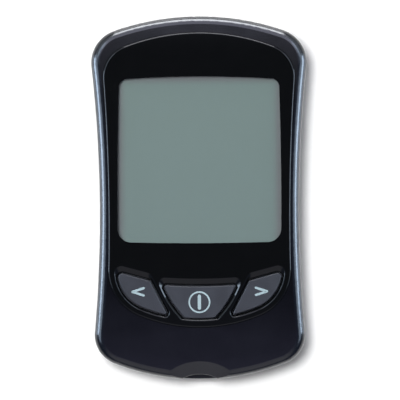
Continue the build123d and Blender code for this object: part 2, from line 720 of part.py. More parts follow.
def lcd_rear_glass():
    """The rear glass, short of the contact ledge."""
    return prism(plate_face(GLASS_BORDER, GLASS_LOW_Y, GLASS_HIGH_Y), GLASS_BOTTOM_Z, GLASS_JOIN_Z)


def zebra_strip():
    """The rubber strip that joins the glass to the board."""
    middle = GLASS_LOW_Y - GLASS_LEDGE / 2
    half = GLASS_HALF - ZEBRA_END_GAP
    y0 = middle - ZEBRA_WIDTH / 2
    return block(-half, half, y0, y0 + ZEBRA_WIDTH, BOARD_TOP_Z, GLASS_JOIN_Z)


def lcd_frame():
    """The tray that holds the glass on the board."""
    reach = GLASS_BORDER + FRAME_GAP
    outer = reach + FRAME_WALL
    low_y = LEDGE_LOW_Y - FRAME_GAP
    high_y = GLASS_HIGH_Y + FRAME_GAP
    frame = prism(plate_face(outer, low_y - FRAME_WALL, high_y + FRAME_WALL), BOARD_TOP_Z, DISPLAY_TOP_Z)
    frame -= prism(plate_face(reach, low_y, high_y), GLASS_JOIN_Z, BIG)
    frame -= prism(plate_face(reach, GLASS_LOW_Y - FRAME_GAP, high_y), GLASS_BOTTOM_Z, BIG)
    shelf = plate_face(reach - FRAME_SHELF, GLASS_LOW_Y + FRAME_SHELF, high_y - FRAME_SHELF)
    frame -= prism(shelf, 0, BIG)
    half = GLASS_HALF - ZEBRA_END_GAP + FRAME_GAP
    slot_y = GLASS_LOW_Y - GLASS_LEDGE / 2 - ZEBRA_WIDTH / 2 - FRAME_GAP
    slot_end = slot_y + ZEBRA_WIDTH + 2 * FRAME_GAP
    return frame - block(-half, half, slot_y, slot_end, 0, BIG)


# ----------------------------------------------------------------- main board
def port_notch():
    """The board's cut-out round the strip port's surround."""
    half = PORT_SURROUND_WIDTH / 2 + BOARD_EDGE_GAP / 2
    return block(-half, half, BOTTOM_Y, PORT_INNER_Y + CONNECTOR_GAP / 2, 0, BIG)


def main_board():
    """The circuit board."""
    board = prism(body(BOARD_INSET), BOARD_BOTTOM_Z, BOARD_TOP_Z) - port_notch()
    for x, y, _, pilot, _ in front_posts():
        board -= post(pilot + SHANK_CLEARANCE, x, y, 0, BIG)
    return board


def key_switch(place):
    """A push switch on the board, bored for its plunger."""
    x, y = place
    half = SWITCH_SIZE / 2
    body = block(x - half, x + half, y - half, y + half, BOARD_TOP_Z, SWITCH_TOP_Z)
    body = fillet(body.edges().filter_by(Axis.Z), SWITCH_CORNER_R)
    return body - post(PLUNGER_R + PLUNGER_FIT, x, y, plunger_low() - KEY_TRAVEL - PLUNGER_FIT, BIG)


def plunger_low():
    """Lower end of a plunger at rest."""
    return SWITCH_TOP_Z - PLUNGER_DEPTH


def switch_plunger(place):
    """The plunger that a key pushes."""
    return post(PLUNGER_R, *place, plunger_low(), PLUNGER_TOP_Z)


def leaf(points, width, x):
    """A thin bent contact; points are (y, z), bent in the plane across X."""
    path = Polyline([(y, z) for y, z in points])
    strip = trace(path, CONTACT_SHEET)
    return Pos(x - width / 2, 0, 0) * (Plane.YZ * extrude(strip, width))


def strip_connector():
    """The housing that a test strip slides into."""
    half = CONNECTOR_WIDTH / 2
    top_z = BOARD_TOP_Z + CONNECTOR_HEIGHT
    far_y = CONNECTOR_Y + CONNECTOR_LENGTH
    body = block(-half, half, CONNECTOR_Y, far_y, BOARD_TOP_Z, top_z)
    half = STRIP_WIDTH / 2
    low = BOARD_TOP_Z + CONNECTOR_FLOOR
    end_y = CONNECTOR_Y + STRIP_CHANNEL_LENGTH
    roof = top_z - CONNECTOR_ROOF
    body -= block(-half, half, CONNECTOR_Y - CUT_OVER, end_y, low, roof)
    slot_low = roof - 2 * CONTACT_SHEET
    for x in strip_contact_places():
        half = STRIP_CONTACT_WIDTH / 2 + CONTACT_FIT
        body -= block(x - half, x + half, end_y - CUT_OVER, far_y + CUT_OVER, slot_low, roof)
    return body


def strip_contact_places():
    """X of each contact in the strip connector."""
    first = -(STRIP_CONTACT_COUNT - 1) / 2 * STRIP_CONTACT_PITCH
    return [first + i * STRIP_CONTACT_PITCH for i in range(STRIP_CONTACT_COUNT)]


def strip_contacts():
    """The sprung leaves that touch the strip, and their tails on the board."""
    high_z = BOARD_TOP_Z + CONNECTOR_HEIGHT - CONNECTOR_ROOF - CONTACT_SHEET
    tail_y = CONNECTOR_Y + CONNECTOR_LENGTH + TAIL_GAP + CONTACT_SHEET / 2
    tail_z = BOARD_TOP_Z + CONTACT_SHEET / 2
    bow_y = CONNECTOR_Y + STRIP_CHANNEL_LENGTH / 2
    points = (
        (bow_y - 2 * STRIP_CONTACT_BOW, high_z),
        (bow_y - STRIP_CONTACT_BOW, high_z - STRIP_CONTACT_DIP),
        (bow_y + STRIP_CONTACT_BOW, high_z),
        (tail_y, high_z),
        (tail_y, tail_z),
        (tail_y + STRIP_CONTACT_TAIL, tail_z),
    )
    return Compound(children=[leaf(points, STRIP_CONTACT_WIDTH, x) for x in strip_contact_places()])


def nose_bore_y():
    """Inner end of the jack's bore."""
    return TOP_Y - JACK_NOSE_RECESS - JACK_BORE_LENGTH


def lying_rod(radius, x, z, y0, y1):
    """A round rod along Y."""
    return Pos(x, (y0 + y1) / 2, z) * Rot(X=90) * Cylinder(radius, y1 - y0)


def nose_hole():
    """The hole in the covers' end wall for the jack's nose."""
    radius = JACK_NOSE_R + JACK_NOSE_GAP
    return lying_rod(radius, 0, JACK_Z, JACK_FRONT_Y - CUT_OVER, TOP_Y + CUT_OVER)


def data_jack():
    """The round socket for a computer lead, under the board."""
    half = JACK_WIDTH / 2
    back_y = JACK_FRONT_Y - JACK_LENGTH
    body = block(-half, half, back_y, JACK_FRONT_Y, BOARD_BOTTOM_Z - JACK_HEIGHT, BOARD_BOTTOM_Z)
    nose_end = TOP_Y - JACK_NOSE_RECESS
    body += lying_rod(JACK_NOSE_R, 0, JACK_Z, JACK_FRONT_Y - CUT_OVER, nose_end)
    body -= lying_rod(JACK_BORE_R, 0, JACK_Z, nose_bore_y(), nose_end + CUT_OVER)
    for y in jack_contact_places():
        slot = JACK_CONTACT_WIDTH / 2 + CONTACT_FIT
        side = JACK_BORE_R + CONTACT_SHEET + CONTACT_FIT
        open_side = JACK_BORE_R - CONTACT_SLOT_DEPTH
        body -= block(open_side, side, y - slot, y + slot, JACK_Z - slot, BIG)
    return body


def jack_contact_places():
    """Y of each contact in the jack."""
    first = JACK_FRONT_Y - JACK_LENGTH + JACK_FIRST_CONTACT
    return [first + i * JACK_CONTACT_PITCH for i in range(JACK_CONTACT_COUNT)]


def jack_contacts():
    """Flat leaves beside the jack's bore, up to the board."""
    x0 = JACK_BORE_R + CONTACT_FIT / 2
    half = JACK_CONTACT_WIDTH / 2
    leaves = [
        block(x0, x0 + CONTACT_SHEET, y - half, y + half, JACK_Z - half, BOARD_BOTTOM_Z)
        for y in jack_contact_places()
    ]
    return Compound(children=leaves)


def microcontroller():
    """The square controller chip with its legs, under the board."""
    x, y = CHIP_PLACE
    half = CHIP_SIZE / 2
    low = BOARD_BOTTOM_Z - CHIP_HEIGHT
    body = block(x - half, x + half, y - half, y + half, low, BOARD_BOTTOM_Z - CHIP_STANDOFF)
    pitch = CHIP_SIZE / (CHIP_LEGS_PER_SIDE + 1)
    reach = half + CHIP_LEG_REACH
    legs = []
    for i in range(CHIP_LEGS_PER_SIDE):
        along = (i - (CHIP_LEGS_PER_SIDE - 1) / 2) * pitch
        y0 = along - CHIP_LEG_WIDTH / 2
        leg = block(half - CHIP_LEG_WIDTH, reach, y0, y0 + CHIP_LEG_WIDTH, -CONTACT_SHEET, 0)
        legs += [Pos(x, y, BOARD_BOTTOM_Z) * Rot(Z=turn) * leg for turn in (0, 90, 180, 270)]
    return body + legs


def memory_chip():
    """The small memory chip."""
    x, y = MEMORY_PLACE
    low = BOARD_BOTTOM_Z - CONTACT_SHEET
    reach = MEMORY_WIDTH / 2 + MEMORY_LEG_REACH
    pitch = MEMORY_LENGTH / MEMORY_LEGS_PER_SIDE
    legs = []
    for i in range(MEMORY_LEGS_PER_SIDE):
        y0 = y + (i - (MEMORY_LEGS_PER_SIDE - 1) / 2) * pitch - MEMORY_LEG_WIDTH / 2
        legs.append(block(x - reach, x + reach, y0, y0 + MEMORY_LEG_WIDTH, low, BOARD_BOTTOM_Z))
    body = block(
        x - MEMORY_WIDTH / 2,
        x + MEMORY_WIDTH / 2,
        y - MEMORY_LENGTH / 2,
        y + MEMORY_LENGTH / 2,
        BOARD_BOTTOM_Z - MEMORY_HEIGHT,
        BOARD_BOTTOM_Z - CHIP_STANDOFF,
    )
    return body + legs


def crystal():
    """The clock crystal's can."""
    x, y = CRYSTAL_PLACE
    can = SlotOverall(CRYSTAL_LENGTH, CRYSTAL_WIDTH)
    return prism(Pos(x, y) * can, BOARD_BOTTOM_Z - CRYSTAL_HEIGHT, BOARD_BOTTOM_Z)


def chip_components():
    """The small resistors and capacitors in a row each side of the chip."""
    parts = []
    for side in (-1, 1):
        for i in range(PASSIVES_PER_ROW):
            x = CHIP_PLACE[0] + side * (CHIP_SIZE / 2 + PASSIVE_ROW_OUT)
            y = CHIP_PLACE[1] + (i - (PASSIVES_PER_ROW - 1) / 2) * PASSIVE_PITCH
            half_x = PASSIVE_LENGTH / 2
            half_y = PASSIVE_WIDTH / 2
            low = BOARD_BOTTOM_Z - PASSIVE_HEIGHT
            parts.append(block(x - half_x, x + half_x, y - half_y, y + half_y, low, BOARD_BOTTOM_Z))
    return Compound(children=parts)


def buzzer():
    """The round sounder with its port facing the back."""
    x, y = BUZZER_PLACE
    low = BOARD_BOTTOM_Z - BUZZER_HEIGHT
    can = post(BUZZER_R, x, y, low, BOARD_BOTTOM_Z)
    can = fillet(can.edges().sort_by(Axis.Z)[0], BUZZER_EDGE_R)
    return can - post(BUZZER_PORT_R, x, y, low - CUT_OVER, low + BUZZER_HEIGHT / 2)


# -------------------------------------------------------------------- battery
def coin_cell_can():
    """The cell's positive can, open towards the board."""
    can = post(CELL_R, 0, CELL_Y, CELL_Z, CELL_TOP_Z - CELL_CAP_PROUD)
    can = fillet(can.edges().sort_by(Axis.Z)[0], CELL_CRIMP / 2)
    inside = post(CELL_R - CELL_SHEET, 0, CELL_Y, CELL_Z + CELL_SHEET, BIG)
    return can - inside


def coin_cell_gasket():
    """The sealing ring between the can and the cap."""
    ring = post(CELL_R - CELL_SHEET, 0, CELL_Y, CELL_Z + CELL_SHEET, CELL_TOP_Z - CELL_CAP_PROUD)
    return ring - post(CELL_CAP_R, 0, CELL_Y, 0, BIG)


def coin_cell_cap():
    """The negative cap, with the cell's filling."""
    cap = post(CELL_CAP_R, 0, CELL_Y, CELL_Z + CELL_SHEET, CELL_TOP_Z)
    return fillet(cap.edges().sort_by(Axis.Z)[-1], CELL_CAP_PROUD)


def negative_contact():
    """The sprung strip on the well's roof that presses on the cap."""
    half = CELL_R / 2
    low = CELL_TOP_Z + CONTACT_SHEET / 2
    high = WELL_ROOF_Z - CONTACT_SHEET / 2 - CONTACT_PLAY
    points = (
        (CELL_Y - half, low + CONTACT_LIFT),
        (CELL_Y - half + CONTACT_TIP, low),
        (CELL_Y - CONTACT_TIP, high),
        (CELL_Y + half, high),
        (CELL_Y + half, BOARD_BOTTOM_Z),
    )
    return leaf(points, CONTACT_WIDTH, 0)


def positive_contact():
    """The sprung strip beside the cell that touches the can's rim."""
    x = CELL_R + CONTACT_PLAY
    y0 = CELL_Y - CONTACT_WIDTH / 2
    y1 = y0 + CONTACT_WIDTH
    low = PAN_FLOOR_Z + CONTACT_POCKET_UP
    strip = block(x, x + CONTACT_SHEET, y0, y1, low, BOARD_BOTTOM_Z)
    foot_z = BOARD_BOTTOM_Z - CONTACT_SHEET
    return strip + block(x, x + CONTACT_FOOT, y0, y1, foot_z, BOARD_BOTTOM_Z)


# ----------------------------------------------------------------- rear shell
def door_face(grow=0.0):
    """The battery door's outline, square at its hinge."""
    width = DOOR_WIDTH + 2 * grow
    low = LATCH_END_Y - grow
    high = DOOR_END_Y + grow
    face = Pos(0, (low + high) / 2) * Rectangle(width, high - low)
    return fillet(face.vertices().sort_by(Axis.Y)[:2], DOOR_CORNER_R + grow)


def finger_scoop():
    """The dip in the back beside the latch, for a fingertip."""
    radius = (FINGER_R**2 + FINGER_DEPTH**2) / (2 * FINGER_DEPTH)
    ball = Sphere(radius)
    return Pos(0, LATCH_END_Y, FINGER_DEPTH - radius) * ball


def latch_slot():
    """The opening in the pan that the latch stands in."""
    half = LATCH_WIDTH / 2 + DOOR_GAP
    y0 = LATCH_END_Y - DOOR_GAP
    y1 = LATCH_END_Y + LATCH_SETBACK + LATCH_THICKNESS + 2 * DOOR_GAP
    return block(-half, half, y0, y1, 0, BIG)


def rear_posts():
    """The posts that the long screws pass through."""
    radius = HOUSING_HEAD_R + HEAD_CLEARANCE + REAR_POST_WALL
    return [post(radius, x, y, BACK_WALL / 2, BOARD_BOTTOM_Z) for x, y in housing_screw_places()]


def battery_bay():
    """The pan over the door and the round well over the cell."""
    pan = prism(door_face(DOOR_GAP + PAN_WALL), BACK_WALL / 2, PAN_FLOOR_Z + PAN_ROOF)
    radius = CELL_R + CELL_GAP + WELL_WALL
    return pan + post(radius, 0, CELL_Y, PAN_FLOOR_Z, WELL_ROOF_Z + WELL_ROOF)


def battery_space():
    """What is cut from the bay: the door's place, the well and the latch slot."""
    space = prism(door_face(DOOR_GAP), -CUT_OVER, PAN_FLOOR_Z)
    space += post(CELL_R + CELL_GAP, 0, CELL_Y, 0, WELL_ROOF_Z)
    space += latch_slot()
    half = CONTACT_WIDTH / 2 + CONTACT_FIT
    low = PAN_FLOOR_Z + CONTACT_POCKET_UP - CONTACT_FIT
    pocket_x = CELL_R + CONTACT_PLAY + CONTACT_FOOT + CONTACT_FIT
    space += block(CELL_R - CUT_OVER, pocket_x, CELL_Y - half, CELL_Y + half, low, BIG)
    slot_y = CELL_Y + CELL_R / 2
    slot = CONTACT_SHEET / 2 + CONTACT_FIT
    return space + block(-half, half, slot_y - slot, slot_y + slot, CELL_TOP_Z, BIG)


def hinge_pins(radius, length):
    """The two stub pins, or their holes, in line with the hinge."""
    middle = DOOR_WIDTH / 2 + (length - HINGE_PIN_ROOT) / 2
    pin = Rot(Y=90) * Cylinder(radius, length + HINGE_PIN_ROOT)
    return [Pos(side * middle, HINGE_Y, HINGE_Z) * pin for side in (-1, 1)]


def rear_cover():
    """The back shell with the screw posts, battery bay and jack hole."""
    shell = prism(body(), 0, PARTING_Z)
    shell = fillet(shell.faces().sort_by(Axis.Z)[0].edges(), BACK_EDGE_R)
    inside = body(WALL)
    shell -= prism(inside, BACK_WALL, BIG)
    groove = prism(body(-SHADOW_GAP) - body(SHADOW_GAP), PARTING_Z - SHADOW_GAP, BIG)
    shell -= groove
    tongue = body(WALL - TONGUE_THICKNESS) - inside
    half = PORT_SURROUND_WIDTH / 2 + BOARD_EDGE_GAP
    gap = Pos(0, BOTTOM_Y) * Rectangle(2 * half, BODY_LENGTH / 4)
    shell += prism(tongue - gap, PARTING_Z - TONGUE_HEIGHT, PARTING_Z + TONGUE_HEIGHT)
    shell += rear_posts()
    shell += battery_bay()
    shell -= battery_space()
    shell -= hinge_pins(HINGE_PIN_R + HINGE_FIT, HINGE_PIN_LENGTH + 2 * HINGE_FIT)
    for x, y in housing_screw_places():
        shell -= post(HOUSING_HEAD_R + HEAD_CLEARANCE, x, y, -CUT_OVER, HEAD_SEAT_Z)
        shell -= post(HOUSING_SCREW_R + SHANK_CLEARANCE, x, y, 0, BIG)
    shell -= nose_hole()
    for i in range(SOUND_HOLE_COUNT):
        x = BUZZER_PLACE[0] + (i - (SOUND_HOLE_COUNT - 1) / 2) * SOUND_HOLE_PITCH
        shell -= post(SOUND_HOLE_R, x, BUZZER_PLACE[1], -CUT_OVER, BACK_WALL + CUT_OVER)
    label = Pos(0, LABEL_Y) * RectangleRounded(
        LABEL_WIDTH + 2 * LABEL_GAP, LABEL_HEIGHT + 2 * LABEL_GAP, LABEL_CORNER_R + LABEL_GAP
    )
    shell -= prism(label, -CUT_OVER, LABEL_RECESS)
    return shell - finger_scoop()


def battery_door():
    """The hinged door with its stub pins, ribs and latch."""
    plate = prism(door_face(), DOOR_RECESS, DOOR_INNER_Z)
    plate -= block(-BIG, BIG, HINGE_Y, BIG, 0, BIG)
    plate += Pos(0, HINGE_Y, HINGE_Z) * Rot(Y=90) * Cylinder(DOOR_THICKNESS / 2, DOOR_WIDTH)
    plate += hinge_pins(HINGE_PIN_R, HINGE_PIN_LENGTH)
    ring = Pos(0, CELL_Y) * (Circle(DOOR_RIB_R) - Circle(DOOR_RIB_R - DOOR_RIB_WIDTH))
    plate += prism(ring, DOOR_INNER_Z, DOOR_INNER_Z + DOOR_RIB_HEIGHT)
    y0 = LATCH_END_Y + LATCH_SETBACK
    half = LATCH_WIDTH / 2
    top = DOOR_INNER_Z + LATCH_HEIGHT
    latch = block(-half, half, y0, y0 + LATCH_THICKNESS, DOOR_INNER_Z - LATCH_ROOT, top)
    nib_top = top - NIB_DOWN
    nib_y = y0 + LATCH_THICKNESS / 2
    return plate + latch + block(-half, half, y0 - NIB_PROUD, nib_y, nib_top - NIB_HEIGHT, nib_top)


def rear_label():
    """The blank label in its recess."""
    face = Pos(0, LABEL_Y) * RectangleRounded(LABEL_WIDTH, LABEL_HEIGHT, LABEL_CORNER_R)
    return prism(face, LABEL_RECESS - LABEL_THICKNESS, LABEL_RECESS)


# ------------------------------------------------------------------ fasteners
def screw(x, y, seat, shank_r, length, head_r, head_height):
    """A cross-head screw, head down, with its head's bearing face at `seat`."""
    head = post(head_r, x, y, seat - head_height, seat)
    head = fillet(head.edges().sort_by(Axis.Z)[0], head_height / 4)
    half = DRIVE_LENGTH * head_r
    low = seat - head_height
    for along, across in ((half, DRIVE_WIDTH / 2), (DRIVE_WIDTH / 2, half)):
        head -= block(x - along, x + along, y - across, y + across, low - CUT_OVER, low + DRIVE_DEPTH)
    return head + post(shank_r, x, y, seat, seat + length)


def housing_screws():
    """The four long screws that close the covers."""
    shank = (HOUSING_SCREW_R, HOUSING_SCREW_LENGTH)
    head = (HOUSING_HEAD_R, HOUSING_HEAD_HEIGHT)
    screws = [screw(x, y, HEAD_SEAT_Z, *shank, *head) for x, y in housing_screw_places()]
    return Compound(children=screws)


def board_screws():
    """The four short screws that hold the board to the front cover."""
    shank = (BOARD_SCREW_R, BOARD_SCREW_LENGTH)
    head = (BOARD_HEAD_R, BOARD_HEAD_HEIGHT)
    screws = [screw(x, y, BOARD_BOTTOM_Z, *shank, *head) for x, y in board_screw_places()]
    return Compound(children=screws)


def pieces():
    """Every sub-part by name."""
    left = (-SIDE_SWITCH[0], SIDE_SWITCH[1])
    named = {
        "front_cover": front_cover(),
        "face_panel": face_panel(),
        "panel_adhesive": panel_adhesive(),
        "display_lens": display_lens(),
        "display_gasket": display_gasket(),
        "lcd_front_polarizer": prism(window(POLARIZER_BORDER), DISPLAY_TOP_Z, GLASS_TOP_Z),
        "lcd_front_glass": lcd_front_glass(),
        "lcd_rear_glass": lcd_rear_glass(),
        "lcd_rear_reflector": prism(window(REFLECTOR_BORDER), REFLECTOR_Z, GLASS_BOTTOM_Z),
        "lcd_frame": lcd_frame(),
        "lcd_zebra_strip": zebra_strip(),
        "main_board": main_board(),
        "microcontroller": microcontroller(),
        "memory_chip": memory_chip(),
        "crystal": crystal(),
        "chip_components": chip_components(),
        "buzzer": buzzer(),
        "strip_connector": strip_connector(),
        "strip_contacts": strip_contacts(),
        "data_jack": data_jack(),
        "data_jack_contacts": jack_contacts(),
        "coin_cell_can": coin_cell_can(),
        "coin_cell_gasket": coin_cell_gasket(),
        "coin_cell_cap": coin_cell_cap(),
        "positive_contact": positive_contact(),
        "negative_contact": negative_contact(),
        "rear_cover": rear_cover(),
        "battery_door": battery_door(),
        "rear_label": rear_label(),
        "housing_screws": housing_screws(),
        "board_screws": board_screws(),
    }
    switches = {"left": left, "power": POWER_SWITCH, "right": SIDE_SWITCH}
    for (side, place), face, flange in zip(switches.items(), keys(), keys(KEY_FLANGE)):
        named[f"{side}_key"] = key_cap(face, flange, place)
        named[f"{side}_plunger"] = switch_plunger(place)
        named[f"{side}_switch"] = key_switch(place)
    return named


os.makedirs("parts", exist_ok=True)
for name, piece in pieces().items():
    export_step(piece, f"parts/{name}.step")
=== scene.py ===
"""Looks of a pocket blood glucose meter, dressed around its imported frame.

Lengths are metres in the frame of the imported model: +X to the display's right, +Y to the display
end, +Z out of the display. The flat back lies on the floor at z = 0.
"""

import logging
import math
from dataclasses import dataclass, field
from enum import Enum
from typing import Protocol, Sequence, Union

import bmesh
import bpy
from mathutils import Matrix, Vector

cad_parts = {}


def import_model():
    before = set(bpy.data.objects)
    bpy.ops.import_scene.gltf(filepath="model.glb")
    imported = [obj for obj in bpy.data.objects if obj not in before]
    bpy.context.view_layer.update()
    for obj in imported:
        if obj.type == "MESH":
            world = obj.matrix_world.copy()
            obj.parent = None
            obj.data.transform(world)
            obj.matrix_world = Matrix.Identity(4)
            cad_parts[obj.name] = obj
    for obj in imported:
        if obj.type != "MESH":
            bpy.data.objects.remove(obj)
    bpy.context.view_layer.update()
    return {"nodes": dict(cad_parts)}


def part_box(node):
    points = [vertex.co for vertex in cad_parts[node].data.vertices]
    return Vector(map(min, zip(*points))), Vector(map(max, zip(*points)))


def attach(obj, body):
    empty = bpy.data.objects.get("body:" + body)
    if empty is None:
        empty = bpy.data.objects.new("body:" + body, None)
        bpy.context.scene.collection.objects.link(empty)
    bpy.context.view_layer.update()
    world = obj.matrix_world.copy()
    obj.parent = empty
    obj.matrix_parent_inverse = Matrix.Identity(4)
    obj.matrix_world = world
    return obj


LOG = logging.getLogger("glucose_meter")
MM = 0.001
SHARP_EDGE = math.radians(35)  # faces that meet at more than this keep a crisp edge
MERGE_DISTANCE = 1e-7

Colour = tuple[float, float, float, float]
Span = tuple[float, float]
Stretch = tuple[float, float, float]
Value = Union[float, Sequence[float], bpy.types.NodeSocket]


def display_colour(red: int, green: int, blue: int) -> Colour:
    """Turns display values into a linear colour.

    Args:
        red: Red, 0 to 255.
        green: Green, 0 to 255.
        blue: Blue, 0 to 255.

    Returns:
        The linear colour with full alpha.
    """
    linear = []
    for value in (red / 255, green / 255, blue / 255):
        linear.append(value / 12.92 if value <= 0.04045 else ((value + 0.055) / 1.055) ** 2.4)
    return (*linear, 1.0)


def shaded(colour: Colour, factor: float) -> Colour:
    """Makes a linear colour darker or paler.

    Args:
        colour: The colour.
        factor: What its three channels are multiplied by.

    Returns:
        The new colour with full alpha.
    """
    return (*(channel * factor for channel in colour[:3]), 1.0)


# ------------------------------------------------------------------ node trees
class NodeTree:
    """Writes nodes into the tree of a material or a world."""

    def __init__(self, owner: Union[bpy.types.Material, bpy.types.World]) -> None:
        """Starts with the tree that the owner gets by itself.

        Args:
            owner: The material or world.
        """
        owner.use_nodes = True
        self.tree = owner.node_tree

    def node(self, kind: str, **settings: object) -> bpy.types.Node:
        """Adds a node.

        Args:
            kind: The node's type name.
            **settings: Values of the node's own properties.

        Returns:
            The new node.
        """
        made = self.tree.nodes.new(kind)
        for name, value in settings.items():
            setattr(made, name, value)
        return made

    def feed(self, socket: bpy.types.NodeSocket, value: Value) -> None:
        """Links a socket to another, or sets it to a constant.

        Args:
            socket: The input socket.
            value: An output socket, a number, a direction or a colour.
        """
        if isinstance(value, bpy.types.NodeSocket):
            self.tree.links.new(value, socket)
        else:
            socket.default_value = value

    def compute(self, operation: str, first: Value, second: Value = 0.0) -> Value:
        """Adds a math node.

        Args:
            operation: The node's operation.
            first: First number.
            second: Second number.

        Returns:
            The result.
        """
        made = self.node("ShaderNodeMath", operation=operation)
        self.feed(made.inputs[0], first)
        self.feed(made.inputs[1], second)
        return made.outputs["Value"]

    def span(self, value: Value, low: float, high: float, to_low: float, to_high: float) -> Value:
        """Maps a number from one span to another, smoothly, and keeps it inside.

        Args:
            value: The number.
            low: Where the first span starts.
            high: Where the first span ends.
            to_low: Result at the first span's start.
            to_high: Result at the first span's end.

        Returns:
            The mapped number.
        """
        made = self.node("ShaderNodeMapRange", interpolation_type="SMOOTHSTEP")
        for name, number in (
            ("Value", value),
            ("From Min", low),
            ("From Max", high),
            ("To Min", to_low),
            ("To Max", to_high),
        ):
            self.feed(made.inputs[name], number)
        return made.outputs["Result"]

    def blend(self, share: Value, first: Value, second: Value) -> Value:
        """Blends two colours.

        Args:
            share: Share of the second colour.
            first: The first colour.
            second: The second colour.

        Returns:
            The blended colour.
        """
        made = self.node("ShaderNodeMix", data_type="RGBA")
        colours = [socket for socket in made.inputs if socket.type == "RGBA"]
        self.feed(made.inputs["Factor"], share)
        self.feed(colours[0], first)
        self.feed(colours[1], second)
        return next(socket for socket in made.outputs if socket.type == "RGBA")


class Shader(NodeTree):
    """The tree of one material, around its Principled shader."""

    USUAL: Span = (0.3, 0.7)  # where a noise pattern mostly stays

    def __init__(self, name: str) -> None:
        """Starts a material.

        Args:
            name: The material's name.
        """
        self.material = bpy.data.materials.new(name)
        super().__init__(self.material)
        self.principled = self.tree.nodes["Principled BSDF"]
        self.surface = self.principled.outputs["BSDF"]
        self.output = self.tree.nodes["Material Output"]
        self.object_coordinates = self.node("ShaderNodeTexCoord").outputs["Object"]

    def finish(self, **inputs: Value) -> None:
        """Feeds inputs of the Principled shader.

        Args:
            **inputs: Values by socket name, with _ for a space.
        """
        for name, value in inputs.items():
            self.feed(self.principled.inputs[name.replace("_", " ")], value)

    def noise(self, size: float, detail: float = 2.0, stretch: Stretch = (1, 1, 1)) -> Value:
        """Adds a noise pattern in object space.

        Args:
            size: Width of one blotch in metres.
            detail: Octaves of finer noise.
            stretch: How much longer the blotches are along each axis.

        Returns:
            The noise value, about 0.5 in the mean.
        """
        place = self.node("ShaderNodeMapping")
        self.feed(place.inputs["Vector"], self.object_coordinates)
        self.feed(place.inputs["Scale"], [1 / (size * along) for along in stretch])
        pattern = self.node("ShaderNodeTexNoise")
        self.feed(pattern.inputs["Vector"], place.outputs["Vector"])
        self.feed(pattern.inputs["Scale"], 1.0)
        self.feed(pattern.inputs["Detail"], detail)
        return pattern.outputs["Fac"]

    def vary(self, pattern: Value, to: Span, of: Span = USUAL) -> Value:
        """Spreads a pattern over a span.

        Args:
            pattern: The pattern.
            to: Lowest and highest result.
            of: Values of the pattern that give them.

        Returns:
            The spread pattern.
        """
        return self.span(pattern, *of, *to)

    def cells(self, size: float) -> Value:
        """Adds a cell pattern in object space.

        Args:
            size: Width of one cell in metres.

        Returns:
            A random grey for each cell.
        """
        pattern = self.node("ShaderNodeTexVoronoi")
        self.feed(pattern.inputs["Vector"], self.object_coordinates)
        self.feed(pattern.inputs["Scale"], 1 / size)
        split = self.node("ShaderNodeSeparateColor")
        self.feed(split.inputs["Color"], pattern.outputs["Color"])
        return split.outputs["Red"]

    def relief(self, height: Value, depth: float) -> Value:
        """Adds a bump.

        Args:
            height: Height pattern, 0 to 1.
            depth: Height of the relief in metres.

        Returns:
            The bent normal.
        """
        made = self.node("ShaderNodeBump")
        self.feed(made.inputs["Strength"], 1.0)
        self.feed(made.inputs["Distance"], depth)
        self.feed(made.inputs["Height"], height)
        return made.outputs["Normal"]

    def axes(self) -> tuple[Value, Value, Value]:
        """Splits the object coordinates.

        Returns:
            X, Y and Z.
        """
        split = self.node("ShaderNodeSeparateXYZ")
        self.feed(split.inputs["Vector"], self.object_coordinates)
        return split.outputs["X"], split.outputs["Y"], split.outputs["Z"]

    def swap(self, share: Value, other: str) -> None:
        """Replaces a share of the surface by another shader.

        Args:
            share: Share of the other shader.
            other: The other shader's type name.
        """
        made = self.node("ShaderNodeMixShader")
        self.feed(made.inputs[0], share)
        self.feed(made.inputs[1], self.surface)
        self.feed(made.inputs[2], self.node(other).outputs[0])
        self.surface = made.outputs[0]
        self.feed(self.output.inputs["Surface"], self.surface)


# -------------------------------------------------------------------- finishes
class Finish(Protocol):
    """What every finish can do."""

    def material(self) -> bpy.types.Material:
        """Builds the material.

        Returns:
            The material.
        """


@dataclass(frozen=True)
class MetallicCoat:
    """Dark metallic lacquer: a fine fleck that shines through a smooth surface.

    Attributes:
        name: The material's name.
        deep: Its colour between the flecks.
        bright: Its colour on a full fleck.
        fleck: Width of a fleck.
        cloud: Width of the patches in which the flecks lie closer.
        cover: How much the flecks show, in thin and in close patches.
        roughness: Lowest and highest roughness.
        relief: Depth of the flecks.
    """

    name: str = "metallic_charcoal"
    deep: Colour = (0.069, 0.070, 0.072, 1.0)
    bright: Colour = (0.105, 0.106, 0.107, 1.0)
    fleck: float = 0.09 * MM
    cloud: float = 9 * MM
    cover: Span = (0.55, 0.8)
    roughness: Span = (0.17, 0.20)
    relief: float = 0.0004 * MM

    def material(self) -> bpy.types.Material:
        """Builds the material.

        Returns:
            The material.
        """
        shader = Shader(self.name)
        fleck = shader.cells(self.fleck)
        cloud = shader.noise(self.cloud, detail=3.0)
        share = shader.compute("MULTIPLY", fleck, shader.vary(cloud, self.cover))
        shader.finish(
            Base_Color=shader.blend(share, self.deep, self.bright),
            Metallic=1.0,
            Roughness=shader.vary(cloud, self.roughness),
            Normal=shader.relief(fleck, self.relief),
        )
        return shader.material


